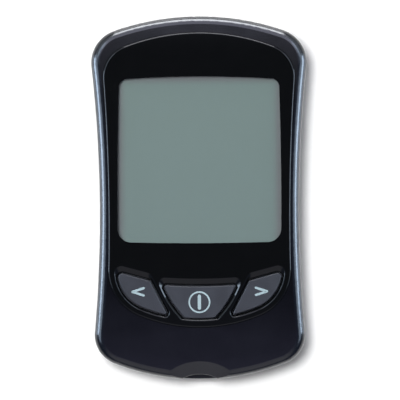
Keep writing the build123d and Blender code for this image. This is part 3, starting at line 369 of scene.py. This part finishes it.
@dataclass(frozen=True)
class GlossBlack:
    """Polished black plastic with the faintest haze of handling.

    Attributes:
        name: The material's name.
        clean: Its colour where it is clean.
        hazy: Its colour under the haze.
        haze: Width of the hazy patches.
        rub: Width of a rub mark.
        rub_stretch: How much longer a rub mark is along each axis.
        worn: Values of haze times rub at which wear starts and is full.
        roughness: Roughness of the unworn and the worn surface.
        specular: Level of its glare.
    """

    name: str = "gloss_black"
    clean: Colour = display_colour(8, 9, 10)
    hazy: Colour = display_colour(11, 12, 13)
    haze: float = 4 * MM
    rub: float = 0.12 * MM
    rub_stretch: Stretch = (1, 9, 1)
    worn: Span = (0.15, 0.45)
    roughness: Span = (0.02, 0.04)
    specular: float = 0.4

    def material(self) -> bpy.types.Material:
        """Builds the material.

        Returns:
            The material.
        """
        shader = Shader(self.name)
        haze = shader.noise(self.haze, detail=4.0)
        rub = shader.noise(self.rub, stretch=self.rub_stretch)
        wear = shader.compute("MULTIPLY", haze, rub)
        shader.finish(
            Base_Color=shader.blend(haze, self.clean, self.hazy),
            Roughness=shader.vary(wear, self.roughness, of=self.worn),
            Specular_IOR_Level=self.specular,
        )
        return shader.material


@dataclass(frozen=True)
class ClearPane:
    """Clear moulded plastic that lets lamps through to the display.

    Attributes:
        name: The material's name.
        colour: Its faint tint.
        smear: Width of the smears on it.
        roughness: Lowest and highest roughness.
        index: Its index of refraction.
    """

    name: str = "clear_pane"
    colour: Colour = (0.97, 0.985, 0.98, 1.0)
    smear: float = 3 * MM
    roughness: Span = (0.0, 0.03)
    index: float = 1.49

    def material(self) -> bpy.types.Material:
        """Builds the material.

        Returns:
            The material.
        """
        shader = Shader(self.name)
        smear = shader.noise(self.smear, detail=3.0)
        shader.finish(
            Base_Color=self.colour,
            Roughness=shader.vary(smear, self.roughness),
            IOR=self.index,
            Transmission_Weight=1.0,
        )
        path = shader.node("ShaderNodeLightPath")
        for ray in ("Is Shadow Ray", "Is Diffuse Ray"):
            shader.swap(path.outputs[ray], "ShaderNodeBsdfTransparent")
        return shader.material


@dataclass(frozen=True)
class DisplayFilm:
    """Grey-green face of an unlit display, darker and greyer in a band along its sides and upper edge.

    Attributes:
        low: Lowest corner of the film.
        high: Highest corner of the film.
        name: The material's name.
        upper: Its colour at the display end.
        lower: Its colour at the strip end.
        tint: Its darker, greyer colour along the sides and the upper edge, fading inwards.
        tint_width: Width of the darker band along the sides and the upper edge.
        hidden: Width of the border that the cover hides.
        grain: Width of the film's grain.
        pale: Colour of the grain.
        grainy: Values of the grain pattern at which it starts and is full.
        grain_share: Lowest and highest share of the grain's colour.
        roughness: Its roughness.
        specular: Level of its glare.
    """

    low: Vector
    high: Vector
    name: str = "display_film"
    upper: Colour = display_colour(112, 129, 126)
    lower: Colour = display_colour(111, 128, 126)
    tint: Colour = display_colour(106, 108, 111)
    tint_width: float = 2.6 * MM
    hidden: float = 0.5 * MM
    grain: float = 0.05 * MM
    pale: Colour = (0.5, 0.52, 0.5, 1.0)
    grainy: Span = (0.2, 0.8)
    grain_share: Span = (0.0, 0.06)
    roughness: float = 0.42
    specular: float = 0.3

    def material(self) -> bpy.types.Material:
        """Builds the material.

        Returns:
            The material.
        """
        shader = Shader(self.name)
        x, y, _ = shader.axes()
        height = shader.span(y, self.low.y, self.high.y, 0.0, 1.0)
        face = shader.blend(height, self.lower, self.upper)
        side = shader.compute("SUBTRACT", self.high.x - self.hidden, shader.compute("ABSOLUTE", x))
        top = shader.compute("SUBTRACT", self.high.y - self.hidden, y)
        near = shader.compute("MINIMUM", side, top)
        # darker, greyer band along the sides and the upper edge, fading inwards from the hidden border
        edge = shader.span(near, 0.0, self.tint_width, 1.0, 0.0)
        edge_darkened = shader.blend(edge, face, self.tint)
        grain = shader.vary(shader.noise(self.grain, detail=1.0), self.grain_share, of=self.grainy)
        shader.finish(
            Base_Color=shader.blend(grain, edge_darkened, self.pale),
            Roughness=self.roughness,
            Specular_IOR_Level=self.specular,
        )
        return shader.material


@dataclass(frozen=True)
class MouldedPlastic:
    """Opaque plastic with a fine moulded grain.

    Attributes:
        name: The material's name.
        colour: Its main colour.
        roughness: Mean roughness.
        grain: Width of the grain.
        depth: Depth of the grain.
        spread: How far the colour varies, as a share.
        cloud_ratio: How much wider the cloudy patches are than the grain.
        swing: How far the roughness varies to either side.
    """

    name: str
    colour: Colour
    roughness: float = 0.5
    grain: float = 0.16 * MM
    depth: float = 0.006 * MM
    spread: float = 0.12
    cloud_ratio: float = 40
    swing: float = 0.05

    def material(self) -> bpy.types.Material:
        """Builds the material.

        Returns:
            The material.
        """
        shader = Shader(self.name)
        grain = shader.noise(self.grain)
        cloud = shader.noise(self.cloud_ratio * self.grain, detail=3.0)
        paler = shaded(self.colour, 1 + 2 * self.spread)
        darker = shaded(self.colour, 1 - self.spread)
        share = shader.compute("MULTIPLY", shader.compute("ADD", grain, cloud), 0.5)
        shader.finish(
            Base_Color=shader.blend(shader.vary(share, (0.0, 1.0)), darker, paler),
            Roughness=shader.vary(cloud, (self.roughness - self.swing, self.roughness + self.swing)),
            Normal=shader.relief(grain, self.depth),
        )
        return shader.material


@dataclass(frozen=True)
class Metal:
    """Bare or plated metal, brushed along one axis.

    Attributes:
        name: The material's name.
        colour: Its colour.
        roughness: Mean roughness.
        stretch: How much longer the brush marks are along each axis.
        grain: Width of a brush mark.
        depth: Depth of a brush mark.
        stain: Width of the stained patches.
        dulling: What a full stain multiplies the colour by.
        stained: Values of the stain pattern at which it starts and is full.
        stain_share: Lowest and highest share of the stain.
        swing: How far the roughness varies to either side.
    """

    name: str
    colour: Colour
    roughness: float = 0.3
    stretch: Stretch = (20.0, 1.0, 1.0)
    grain: float = 0.04 * MM
    depth: float = 0.001 * MM
    stain: float = 2.5 * MM
    dulling: float = 0.72
    stained: Span = (0.35, 0.75)
    stain_share: Span = (0.0, 0.6)
    swing: float = 0.08

    def material(self) -> bpy.types.Material:
        """Builds the material.

        Returns:
            The material.
        """
        shader = Shader(self.name)
        brush = shader.noise(self.grain, stretch=self.stretch)
        stain = shader.vary(shader.noise(self.stain, detail=3.0), self.stain_share, of=self.stained)
        shader.finish(
            Base_Color=shader.blend(stain, self.colour, shaded(self.colour, self.dulling)),
            Metallic=1.0,
            Roughness=shader.vary(brush, (self.roughness - self.swing, self.roughness + self.swing)),
            Normal=shader.relief(brush, self.depth),
        )
        return shader.material


@dataclass(frozen=True)
class BoardLaminate:
    """Green circuit board with lighter traces under its solder mask.

    Attributes:
        name: The material's name.
        mask: Colour between the traces.
        trace: Colour over a trace.
        pitch: Distance from trace to trace.
        bend: Where along Y the traces start and end to swing aside.
        bend_pitches: How many pitches they swing aside.
        line: Half widths at which a trace starts and ends to fade, as shares of the pitch.
        depth: How far a trace stands up.
        blotch: Width of the patches of the mask.
        roughness: Lowest and highest roughness.
    """

    name: str = "board_laminate"
    mask: Colour = (0.008, 0.075, 0.03, 1.0)
    trace: Colour = (0.02, 0.16, 0.06, 1.0)
    pitch: float = 0.9 * MM
    bend: Span = (-20 * MM, 30 * MM)
    bend_pitches: float = 6
    line: Span = (0.12, 0.2)
    depth: float = 0.02 * MM
    blotch: float = 2 * MM
    roughness: Span = (0.22, 0.32)

    def material(self) -> bpy.types.Material:
        """Builds the material.

        Returns:
            The material.
        """
        shader = Shader(self.name)
        x, y, _ = shader.axes()
        aside = shader.vary(y, (0.0, 1.0), of=self.bend)
        bend = shader.compute("MULTIPLY", aside, self.bend_pitches * self.pitch)
        wave = shader.compute("PINGPONG", shader.compute("ADD", x, bend), self.pitch / 2)
        line = shader.vary(wave, (1.0, 0.0), of=(self.line[0] * self.pitch, self.line[1] * self.pitch))
        shader.finish(
            Base_Color=shader.blend(line, self.mask, self.trace),
            Roughness=shader.vary(shader.noise(self.blotch), self.roughness),
            Normal=shader.relief(line, self.depth),
        )
        return shader.material


@dataclass(frozen=True)
class Ink:
    """Pad-printed ink, slightly uneven in cover.

    Attributes:
        name: The material's name.
        full: Its colour at full cover.
        thin: Its colour where the cover is thin.
        blotch: Width of the uneven patches.
        thinning: Values of the pattern at which thinning starts and is full.
        thin_share: Lowest and highest share of the thin colour.
        roughness: Lowest and highest roughness.
        specular: Level of its glare.
    """

    name: str = "legend_ink"
    full: Colour = display_colour(168, 189, 196)
    thin: Colour = display_colour(152, 173, 181)
    blotch: float = 0.08 * MM
    thinning: Span = (0.45, 0.75)
    thin_share: Span = (0.0, 0.7)
    roughness: Span = (0.42, 0.55)
    specular: float = 0.4

    def material(self) -> bpy.types.Material:
        """Builds the material.

        Returns:
            The material.
        """
        shader = Shader(self.name)
        cover = shader.noise(self.blotch)
        thin = shader.vary(cover, self.thin_share, of=self.thinning)
        shader.finish(
            Base_Color=shader.blend(thin, self.full, self.thin),
            Roughness=shader.vary(cover, self.roughness),
            Specular_IOR_Level=self.specular,
        )
        return shader.material


@dataclass(frozen=True)
class LabelStock:
    """Satin film label in silver grey with a printed darker border.

    Attributes:
        low: Lowest corner of the label.
        high: Highest corner of the label.
        name: The material's name.
        stock: Its colour.
        border: Colour of the printed border line.
        border_in: How far in from the edge the border line runs.
        border_width: Width of the border line.
        fibre: Width of the film's fibres.
        shade: What a fibre multiplies the colour by.
        metallic: How metallic the film is.
        roughness: Lowest and highest roughness.
    """

    low: Vector
    high: Vector
    name: str = "label_stock"
    stock: Colour = display_colour(168, 170, 174)
    border: Colour = display_colour(70, 74, 84)
    border_in: float = 1.0 * MM
    border_width: float = 0.3 * MM
    fibre: float = 0.1 * MM
    shade: float = 0.9
    metallic: float = 0.25
    roughness: Span = (0.38, 0.46)

    def material(self) -> bpy.types.Material:
        """Builds the material.

        Returns:
            The material.
        """
        shader = Shader(self.name)
        insets = []
        for place, low, high in zip(shader.axes()[:2], self.low, self.high):
            off = shader.compute("ABSOLUTE", shader.compute("SUBTRACT", place, (low + high) / 2))
            insets.append(shader.compute("SUBTRACT", (high - low) / 2, off))
        inset = shader.compute("MINIMUM", *insets)
        beside = shader.compute("ABSOLUTE", shader.compute("SUBTRACT", inset, self.border_in))
        line = shader.compute("LESS_THAN", beside, self.border_width / 2)
        fibre = shader.noise(self.fibre, detail=3.0)
        film = shader.blend(fibre, self.stock, shaded(self.stock, self.shade))
        shader.finish(
            Base_Color=shader.blend(line, film, self.border),
            Metallic=self.metallic,
            Roughness=shader.vary(fibre, self.roughness),
        )
        return shader.material


@dataclass(frozen=True)
class FloorCard:
    """White card under the meter. Seen from below it isn't there.

    Attributes:
        name: The material's name.
        albedo: Its colour.
        tooth: Width of its faint patches.
        shade: What a full patch multiplies the colour by.
        roughness: Its roughness.
        specular: Level of its glare.
        lift: Light of its own, which only the camera, mirrors and glass see.
    """

    name: str = "floor_card"
    albedo: Colour = (0.93, 0.928, 0.925, 1.0)
    tooth: float = 30 * MM
    shade: float = 0.99
    roughness: float = 0.2
    specular: float = 0.5
    lift: float = 0.13

    def material(self) -> bpy.types.Material:
        """Builds the material.

        Returns:
            The material.
        """
        shader = Shader(self.name)
        tooth = shader.noise(self.tooth)
        shader.finish(
            Base_Color=shader.blend(tooth, shaded(self.albedo, self.shade), self.albedo),
            Roughness=self.roughness,
            Specular_IOR_Level=self.specular,
        )
        path = shader.node("ShaderNodeLightPath")
        seen = path.outputs["Is Camera Ray"]
        for ray in ("Is Glossy Ray", "Is Transmission Ray"):
            seen = shader.compute("MAXIMUM", seen, path.outputs[ray])
        glow = shader.node("ShaderNodeEmission")
        shader.feed(glow.inputs["Strength"], shader.compute("MULTIPLY", seen, self.lift))
        lit = shader.node("ShaderNodeAddShader")
        shader.feed(lit.inputs[0], shader.surface)
        shader.feed(lit.inputs[1], glow.outputs["Emission"])
        shader.surface = lit.outputs[0]
        underside = shader.node("ShaderNodeNewGeometry").outputs["Backfacing"]
        shader.swap(underside, "ShaderNodeBsdfTransparent")
        return shader.material


class Tone(Enum):
    """Colours of the plain moulded and metal parts."""

    KEY = display_colour(54, 56, 62)
    REAR = display_colour(33, 33, 38)
    CONNECTOR = display_colour(24, 24, 26)
    FRAME = display_colour(196, 196, 192)
    RUBBER = display_colour(40, 40, 43)
    CHIP = display_colour(26, 26, 27)
    PLUNGER = display_colour(214, 214, 208)
    TAPE = display_colour(18, 18, 19)
    GLASS = display_colour(176, 188, 184)
    STEEL = (0.62, 0.62, 0.63, 1.0)
    BRASS = (0.83, 0.66, 0.34, 1.0)
    ZINC = (0.20, 0.20, 0.215, 1.0)


# ---------------------------------------------------------------- piece making
def add_piece(name: str, mesh: bmesh.types.BMesh, body: str) -> bpy.types.Object:
    """Turns a finished bmesh into a piece that rides on a body.

    Args:
        name: The piece's name.
        mesh: The finished mesh, in place; it is freed.
        body: The body that it moves with.

    Returns:
        The new object.
    """
    bmesh.ops.recalc_face_normals(mesh, faces=mesh.faces[:])
    data = bpy.data.meshes.new(name)
    mesh.to_mesh(data)
    mesh.free()
    piece = bpy.data.objects.new(name, data)
    bpy.context.scene.collection.objects.link(piece)
    data.shade_smooth()
    data.set_sharp_from_angle(angle=SHARP_EDGE)
    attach(piece, body)
    LOG.info("piece %s rides on %s: %d faces", name, body, len(data.polygons))
    return piece


def dress(piece: bpy.types.Object, material: bpy.types.Material) -> None:
    """Gives a piece one material.

    Args:
        piece: The object.
        material: Its material.
    """
    piece.data.materials.clear()
    piece.data.materials.append(material)
    LOG.info("%s is dressed in %s", piece.name, material.name)


# -------------------------------------------------------------- sub-assemblies
@dataclass
class Crown:
    """The front's crowned surface: a cylinder about an axis along X.

    Attributes:
        top: Its height on the middle line.
        radius: Its radius.
    """

    top: float = 17.0 * MM
    radius: float = 500.0 * MM

    def height(self, y: float) -> float:
        """Height of the surface at y."""
        return self.top - self.radius + math.sqrt(self.radius**2 - y**2)

    def lay(self, mesh: bmesh.types.BMesh, lift: float) -> None:
        """Lifts a mesh drawn about z = 0 onto the crown.

        Args:
            mesh: The mesh.
            lift: Height of its z = 0 above the crown.
        """
        for vertex in mesh.verts:
            vertex.co.z += self.height(vertex.co.y) + lift


@dataclass
class KeyLegends:
    """Printed symbols of the three keys: arrow left, power, arrow right.

    Attributes:
        crown: The surface that they are printed on.
        ring_place: Middle of the power symbol's ring.
        ring_radius: The ring's outer radius.
        ring_stroke: Width of the ring's stroke.
        bar_length: Length of the bar in the ring.
        bar_width: Width of that bar.
        arrow_tip: Tip of the right arrow; the left one mirrors it.
        arrow_back: How far an arrow's ends lie behind its tip.
        arrow_half: Half the distance between an arrow's ends.
        arrow_stroke: Width of an arrow's stroke.
        thickness: Thickness of the ink.
        sink: How deep the ink reaches into the key.
        turns: Number of straight pieces in the ring.
        cap_steps: Number of straight pieces in a stroke's round end.
        ink: The finish.
    """

    crown: Crown
    ring_place: tuple[float, float] = (-0.1 * MM, -27.22 * MM)
    ring_radius: float = 2.85 * MM
    ring_stroke: float = 0.40 * MM
    bar_length: float = 3.98 * MM
    bar_width: float = 0.86 * MM
    arrow_tip: tuple[float, float] = (17.55 * MM, -24.45 * MM)
    arrow_back: float = 2.9 * MM
    arrow_half: float = 0.95 * MM
    arrow_stroke: float = 0.6 * MM
    thickness: float = 0.03 * MM
    sink: float = 0.015 * MM
    turns: int = 64
    cap_steps: int = 8
    ink: Ink = field(default_factory=Ink)

    def stroke(self, mesh: bmesh.types.BMesh, start: Vector, end: Vector, width: float) -> None:
        """Draws one round-ended stroke as a closed slab about z = 0.

        Args:
            mesh: The mesh to add to.
            start: Middle of its first end.
            end: Middle of its second end.
            width: Its width.
        """
        along = (end - start).normalized()
        side = Vector((-along.y, along.x, 0)) * width / 2
        corners = []
        for middle, sign in ((start, 1), (end, -1)):
            for step in range(self.cap_steps + 1):
                turn = Matrix.Rotation(math.pi * step / self.cap_steps, 3, "Z")
                corners.append(mesh.verts.new(middle + turn @ (side * sign)))
        self.thicken(mesh, [mesh.faces.new(corners)])

    def thicken(self, mesh: bmesh.types.BMesh, faces: list[bmesh.types.BMFace]) -> None:
        """Raises flat faces into a closed slab.

        Args:
            mesh: The mesh.
            faces: The flat faces; they become the underside.
        """
        grown = bmesh.ops.extrude_face_region(mesh, geom=faces, use_keep_orig=True)
        risen = [item for item in grown["geom"] if isinstance(item, bmesh.types.BMVert)]
        bmesh.ops.translate(mesh, verts=risen, vec=(0, 0, self.thickness))

    def power(self) -> bmesh.types.BMesh:
        """Draws the ring and the bar inside it.

        Returns:
            The mesh, in place but flat.
        """
        mesh = bmesh.new()
        outer = self.ring_radius
        inner = outer - self.ring_stroke
        section = ((outer, 0), (outer, self.thickness), (inner, self.thickness), (inner, 0))
        corners = [mesh.verts.new((radius, 0, z)) for radius, z in section]
        edges = [mesh.edges.new(pair) for pair in zip(corners, corners[1:] + corners[:1])]
        bmesh.ops.spin(
            mesh,
            geom=corners + edges,
            cent=(0, 0, 0),
            axis=(0, 0, 1),
            angle=2 * math.pi,
            steps=self.turns,
            use_merge=True,
        )
        bmesh.ops.remove_doubles(mesh, verts=mesh.verts[:], dist=MERGE_DISTANCE)
        reach = (self.bar_length - self.bar_width) / 2
        self.stroke(mesh, Vector((0, reach, 0)), Vector((0, -reach, 0)), self.bar_width)
        bmesh.ops.translate(mesh, verts=mesh.verts[:], vec=(*self.ring_place, 0))
        return mesh

    def arrow(self, side: int) -> bmesh.types.BMesh:
        """Draws one arrow.

        Args:
            side: 1 for the right key, -1 for the left.

        Returns:
            The mesh, in place but flat.
        """
        mesh = bmesh.new()
        tip = Vector((self.arrow_tip[0] * side, self.arrow_tip[1], 0))
        for up in (1, -1):
            end = tip + Vector((-side * self.arrow_back, up * self.arrow_half, 0))
            self.stroke(mesh, tip, end, self.arrow_stroke)
        return mesh

    def build(self) -> None:
        """Builds and dresses the three symbols."""
        ink = self.ink.material()
        drawn = (
            ("power_legend", self.power(), "power_key_unit"),
            ("left_arrow_legend", self.arrow(-1), "left_key_unit"),
            ("right_arrow_legend", self.arrow(1), "right_key_unit"),
        )
        for name, mesh, body in drawn:
            self.crown.lay(mesh, -self.sink)
            dress(add_piece(name, mesh, body), ink)


@dataclass
class FrameDressing:
    """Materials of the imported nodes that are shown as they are.

    Attributes:
        nodes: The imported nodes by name.
    """

    nodes: dict[str, bpy.types.Object]

    def plastics(self) -> dict[str, MouldedPlastic]:
        """Lists the plain moulded finishes.

        Returns:
            The finishes by what they are for.
        """
        return {
            "tape": MouldedPlastic("tape", Tone.TAPE.value, roughness=0.7),
            "rubber": MouldedPlastic(
                "rubber", Tone.RUBBER.value, roughness=0.8, grain=0.1 * MM, depth=0.01 * MM
            ),
            "glass": MouldedPlastic(
                "display_glass",
                Tone.GLASS.value,
                roughness=0.08,
                grain=0.3 * MM,
                depth=0.0005 * MM,
                spread=0.03,
            ),
            "frame": MouldedPlastic("frame_plastic", Tone.FRAME.value),
            "chip": MouldedPlastic("chip_plastic", Tone.CHIP.value, grain=0.08 * MM, depth=0.003 * MM),
            "connector": MouldedPlastic("connector_plastic", Tone.CONNECTOR.value, roughness=0.45),
            "rear": MouldedPlastic(
                "rear_plastic", Tone.REAR.value, roughness=0.55, grain=0.22 * MM, depth=0.012 * MM
            ),
            "key": MouldedPlastic(
                "key_plastic",
                Tone.KEY.value,
                roughness=0.42,
                grain=0.12 * MM,
                depth=0.003 * MM,
                spread=0.06,
            ),
            "plunger": MouldedPlastic("plunger_plastic", Tone.PLUNGER.value, roughness=0.4),
        }

    def metals(self) -> dict[str, Metal]:
        """Lists the metal finishes.

        Returns:
            The finishes by what they are for.
        """
        return {
            "contact": Metal("contact_plate", Tone.BRASS.value, roughness=0.25, stretch=(1, 12, 1)),
            "cell": Metal("cell_steel", Tone.STEEL.value, roughness=0.24, stretch=(1, 30, 1)),
            "screw": Metal("screw_zinc", Tone.ZINC.value, roughness=0.34, stretch=(1, 1, 1)),
        }

    def finishes(self) -> tuple[tuple[Finish, tuple[str, ...]], ...]:
        """Pairs every finish with the nodes that wear it.

        Returns:
            Each finish with the names of its nodes.
        """
        plastic = self.plastics()
        metal = self.metals()
        return (
            (MetallicCoat(), ("front_cover",)),
            (GlossBlack(), ("face_panel",)),
            (ClearPane(), ("display_lens",)),
            (plastic["tape"], ("panel_adhesive",)),
            (plastic["rubber"], ("display_gasket", "lcd_zebra_strip")),
            (plastic["glass"], ("lcd_front_glass", "lcd_rear_glass", "lcd_rear_reflector")),
            (plastic["frame"], ("lcd_frame", "coin_cell_gasket")),
            (BoardLaminate(), ("main_board",)),
            (plastic["chip"], ("microcontroller", "memory_chip", "chip_components", "buzzer")),
            (
                plastic["connector"],
                ("strip_connector", "data_jack", "left_switch", "power_switch", "right_switch"),
            ),
            (
                metal["contact"],
                ("strip_contacts", "data_jack_contacts", "positive_contact", "negative_contact"),
            ),
            (metal["cell"], ("coin_cell_can", "coin_cell_cap", "crystal")),
            (plastic["rear"], ("rear_cover", "battery_door")),
            (metal["screw"], ("housing_screws", "board_screws")),
            (plastic["key"], ("left_key", "power_key", "right_key")),
            (plastic["plunger"], ("left_plunger", "power_plunger", "right_plunger")),
            (DisplayFilm(*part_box("lcd_front_polarizer")), ("lcd_front_polarizer",)),
            (LabelStock(*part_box("rear_label")), ("rear_label",)),
        )

    def build(self) -> None:
        """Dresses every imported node."""
        for finish, names in self.finishes():
            material = finish.material()
            for name in names:
                dress(self.nodes[name], material)


# ---------------------------------------------------------------------- studio
class Beam(Enum):
    """What a softbox lights."""

    MATT = "matt surfaces: crossed filters keep its glare off"
    SHEEN = "glare alone: a card that only shows in polished surfaces"


class Light(Enum):
    """Colours of the lamps."""

    WHITE = (1.0, 1.0, 1.0)
    COOL = (0.95, 0.97, 1.0)
    BLUE = (0.66, 0.81, 1.0)


@dataclass
class Lamp:
    """One softbox.

    Attributes:
        name: The lamp's name.
        place: Its middle.
        width: Its width.
        height: Its height.
        radiance: How bright its face is; 1 renders as white.
        light: Its colour.
        beam: What it lights.
    """

    name: str
    place: Vector
    width: float
    height: float
    radiance: float
    light: Light = Light.BLUE
    beam: Beam = Beam.SHEEN

    def build(self, target: Vector) -> None:
        """Builds the lamp and turns it to a target.

        Args:
            target: The point that it faces.
        """
        data = bpy.data.lights.new(self.name, "AREA")
        data.shape = "RECTANGLE"
        data.size = self.width
        data.size_y = self.height
        data.energy = self.radiance * math.pi * self.width * self.height
        data.color = self.light.value
        lamp = bpy.data.objects.new(self.name, data)
        lamp.location = self.place
        lamp.visible_diffuse = self.beam is Beam.MATT
        lamp.visible_glossy = lamp.visible_transmission = self.beam is Beam.SHEEN
        lamp.rotation_euler = (target - self.place).to_track_quat("-Z", "Y").to_euler()
        bpy.context.scene.collection.objects.link(lamp)
        LOG.info("lamp %s lights %s", self.name, self.beam.value)


@dataclass(frozen=True)
class Glow:
    """A soft round patch of light in the surroundings.

    Attributes:
        toward: Direction of its middle, about one long.
        inner: Cosine of the angle within which it is full.
        outer: Cosine of the angle at which it ends.
        colour: Its light.
    """

    toward: tuple[float, float, float]
    inner: float
    outer: float
    colour: Colour


@dataclass(frozen=True)
class Surroundings:
    """The dim room round the lamps: darkest overhead, with a few soft patches.

    Attributes:
        name: The world's name.
        fill: What matt surfaces get from it.
        room: What polished surfaces show of it.
        patches: The soft patches, each laid over the ones before it.
    """

    name: str = "surroundings"
    fill: Colour = (0.085, 0.087, 0.092, 1.0)
    room: Colour = (0.089, 0.112, 0.190, 1.0)
    patches: tuple[Glow, ...] = (
        Glow((0.0, 0.616, 0.788), 0.927, 0.879, (1.33, 1.35, 1.66, 1.0)),
        Glow((-0.64, 0.64, 0.42), 0.985, 0.883, (0.68, 0.76, 0.86, 1.0)),
        Glow((0.64, 0.64, 0.42), 0.985, 0.883, (0.68, 0.76, 0.86, 1.0)),
        Glow((0.0, -0.309, 0.951), 0.99, 0.95, (0.235, 0.237, 0.390, 1.0)),
        Glow((0.0, -0.766, 0.643), 0.96, 0.82, (0.47, 0.47, 0.54, 1.0)),
        Glow((0.0, 0.035, 0.9994), 0.989, 0.955, (0.018, 0.020, 0.030, 1.0)),
    )

    def build(self) -> None:
        """Builds the world."""
        world = bpy.data.worlds.new(self.name)
        bpy.context.scene.world = world
        sky = NodeTree(world)
        direction = sky.node("ShaderNodeTexCoord").outputs["Generated"]
        colour: Value = self.room
        for patch in self.patches:
            nearness = sky.node("ShaderNodeVectorMath", operation="DOT_PRODUCT")
            sky.feed(nearness.inputs[0], direction)
            sky.feed(nearness.inputs[1], patch.toward)
            share = sky.span(nearness.outputs["Value"], patch.outer, patch.inner, 0.0, 1.0)
            colour = sky.blend(share, colour, patch.colour)
        matt = sky.node("ShaderNodeLightPath").outputs["Is Diffuse Ray"]
        sky.feed(sky.tree.nodes["Background"].inputs["Color"], sky.blend(matt, colour, self.fill))


@dataclass
class Studio:
    """Floor, surroundings, softboxes and camera.

    Attributes:
        floor_half: Half the floor's width.
        lens: The camera's focal length in millimetres.
        camera_height: How high the camera stands.
        camera_place: Where it stands in X and Y.
        camera_roll: How far it is rolled, in radians.
        clip: Nearest and farthest distance that it sees.
        target: The point that the lamps face.
        lamps: The softboxes.
    """

    floor_half: float = 3.0
    lens: float = 300.0
    camera_height: float = 885 * MM
    camera_place: tuple[float, float] = (0.16 * MM, -0.59 * MM)
    camera_roll: float = -0.004
    clip: Span = (0.01, 20.0)
    target: tuple[float, float, float] = (0.0, 0.0, 0.01)
    lamps: tuple[Lamp, ...] = (
        Lamp("key_softbox", Vector((-0.118, 0.102, 0.90)), 0.205, 0.205, 63.0, Light.WHITE, Beam.MATT),
        Lamp("left_strip", Vector((-0.55, 0.06, 0.18)), 0.28, 0.24, 10.0),
        Lamp("right_strip", Vector((0.55, 0.07, 0.18)), 0.28, 0.24, 9.2),
        Lamp("end_softbox", Vector((0.0, 0.60, 0.20)), 0.46, 0.27, 9.4, Light.COOL),
        Lamp("left_kicker", Vector((-0.28, 0.27, 0.47)), 0.18, 0.18, 2.8),
        Lamp("right_kicker", Vector((0.28, 0.27, 0.47)), 0.18, 0.18, 2.8),
        Lamp("left_halo", Vector((-0.42, 0.0, 0.37)), 0.44, 0.26, 2.2),
        Lamp("right_halo", Vector((0.42, 0.0, 0.37)), 0.44, 0.26, 2.0),
    )

    def floor(self) -> None:
        """Lays the floor."""
        mesh = bmesh.new()
        bmesh.ops.create_grid(mesh, x_segments=1, y_segments=1, size=self.floor_half)
        data = bpy.data.meshes.new("floor")
        mesh.to_mesh(data)
        mesh.free()
        card = bpy.data.objects.new("floor", data)
        bpy.context.scene.collection.objects.link(card)
        dress(card, FloorCard().material())

    def camera(self) -> None:
        """Places the camera straight above, with the display end up."""
        data = bpy.data.cameras.new("camera")
        data.lens = self.lens
        data.clip_start, data.clip_end = self.clip
        camera = bpy.data.objects.new("camera", data)
        camera.location = (*self.camera_place, self.camera_height)
        camera.rotation_euler = (0, 0, self.camera_roll)
        bpy.context.scene.collection.objects.link(camera)
        bpy.context.scene.camera = camera

    def build(self) -> None:
        """Builds the studio."""
        self.floor()
        Surroundings().build()
        self.camera()
        for lamp in self.lamps:
            lamp.build(Vector(self.target))
        bpy.context.scene.view_settings.view_transform = "Standard"


def main() -> None:
    """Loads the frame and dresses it."""
    logging.basicConfig(level=logging.INFO)
    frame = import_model()
    Studio().build()
    FrameDressing(frame["nodes"]).build()
    KeyLegends(Crown()).build()


if __name__ == "__main__":
    main()
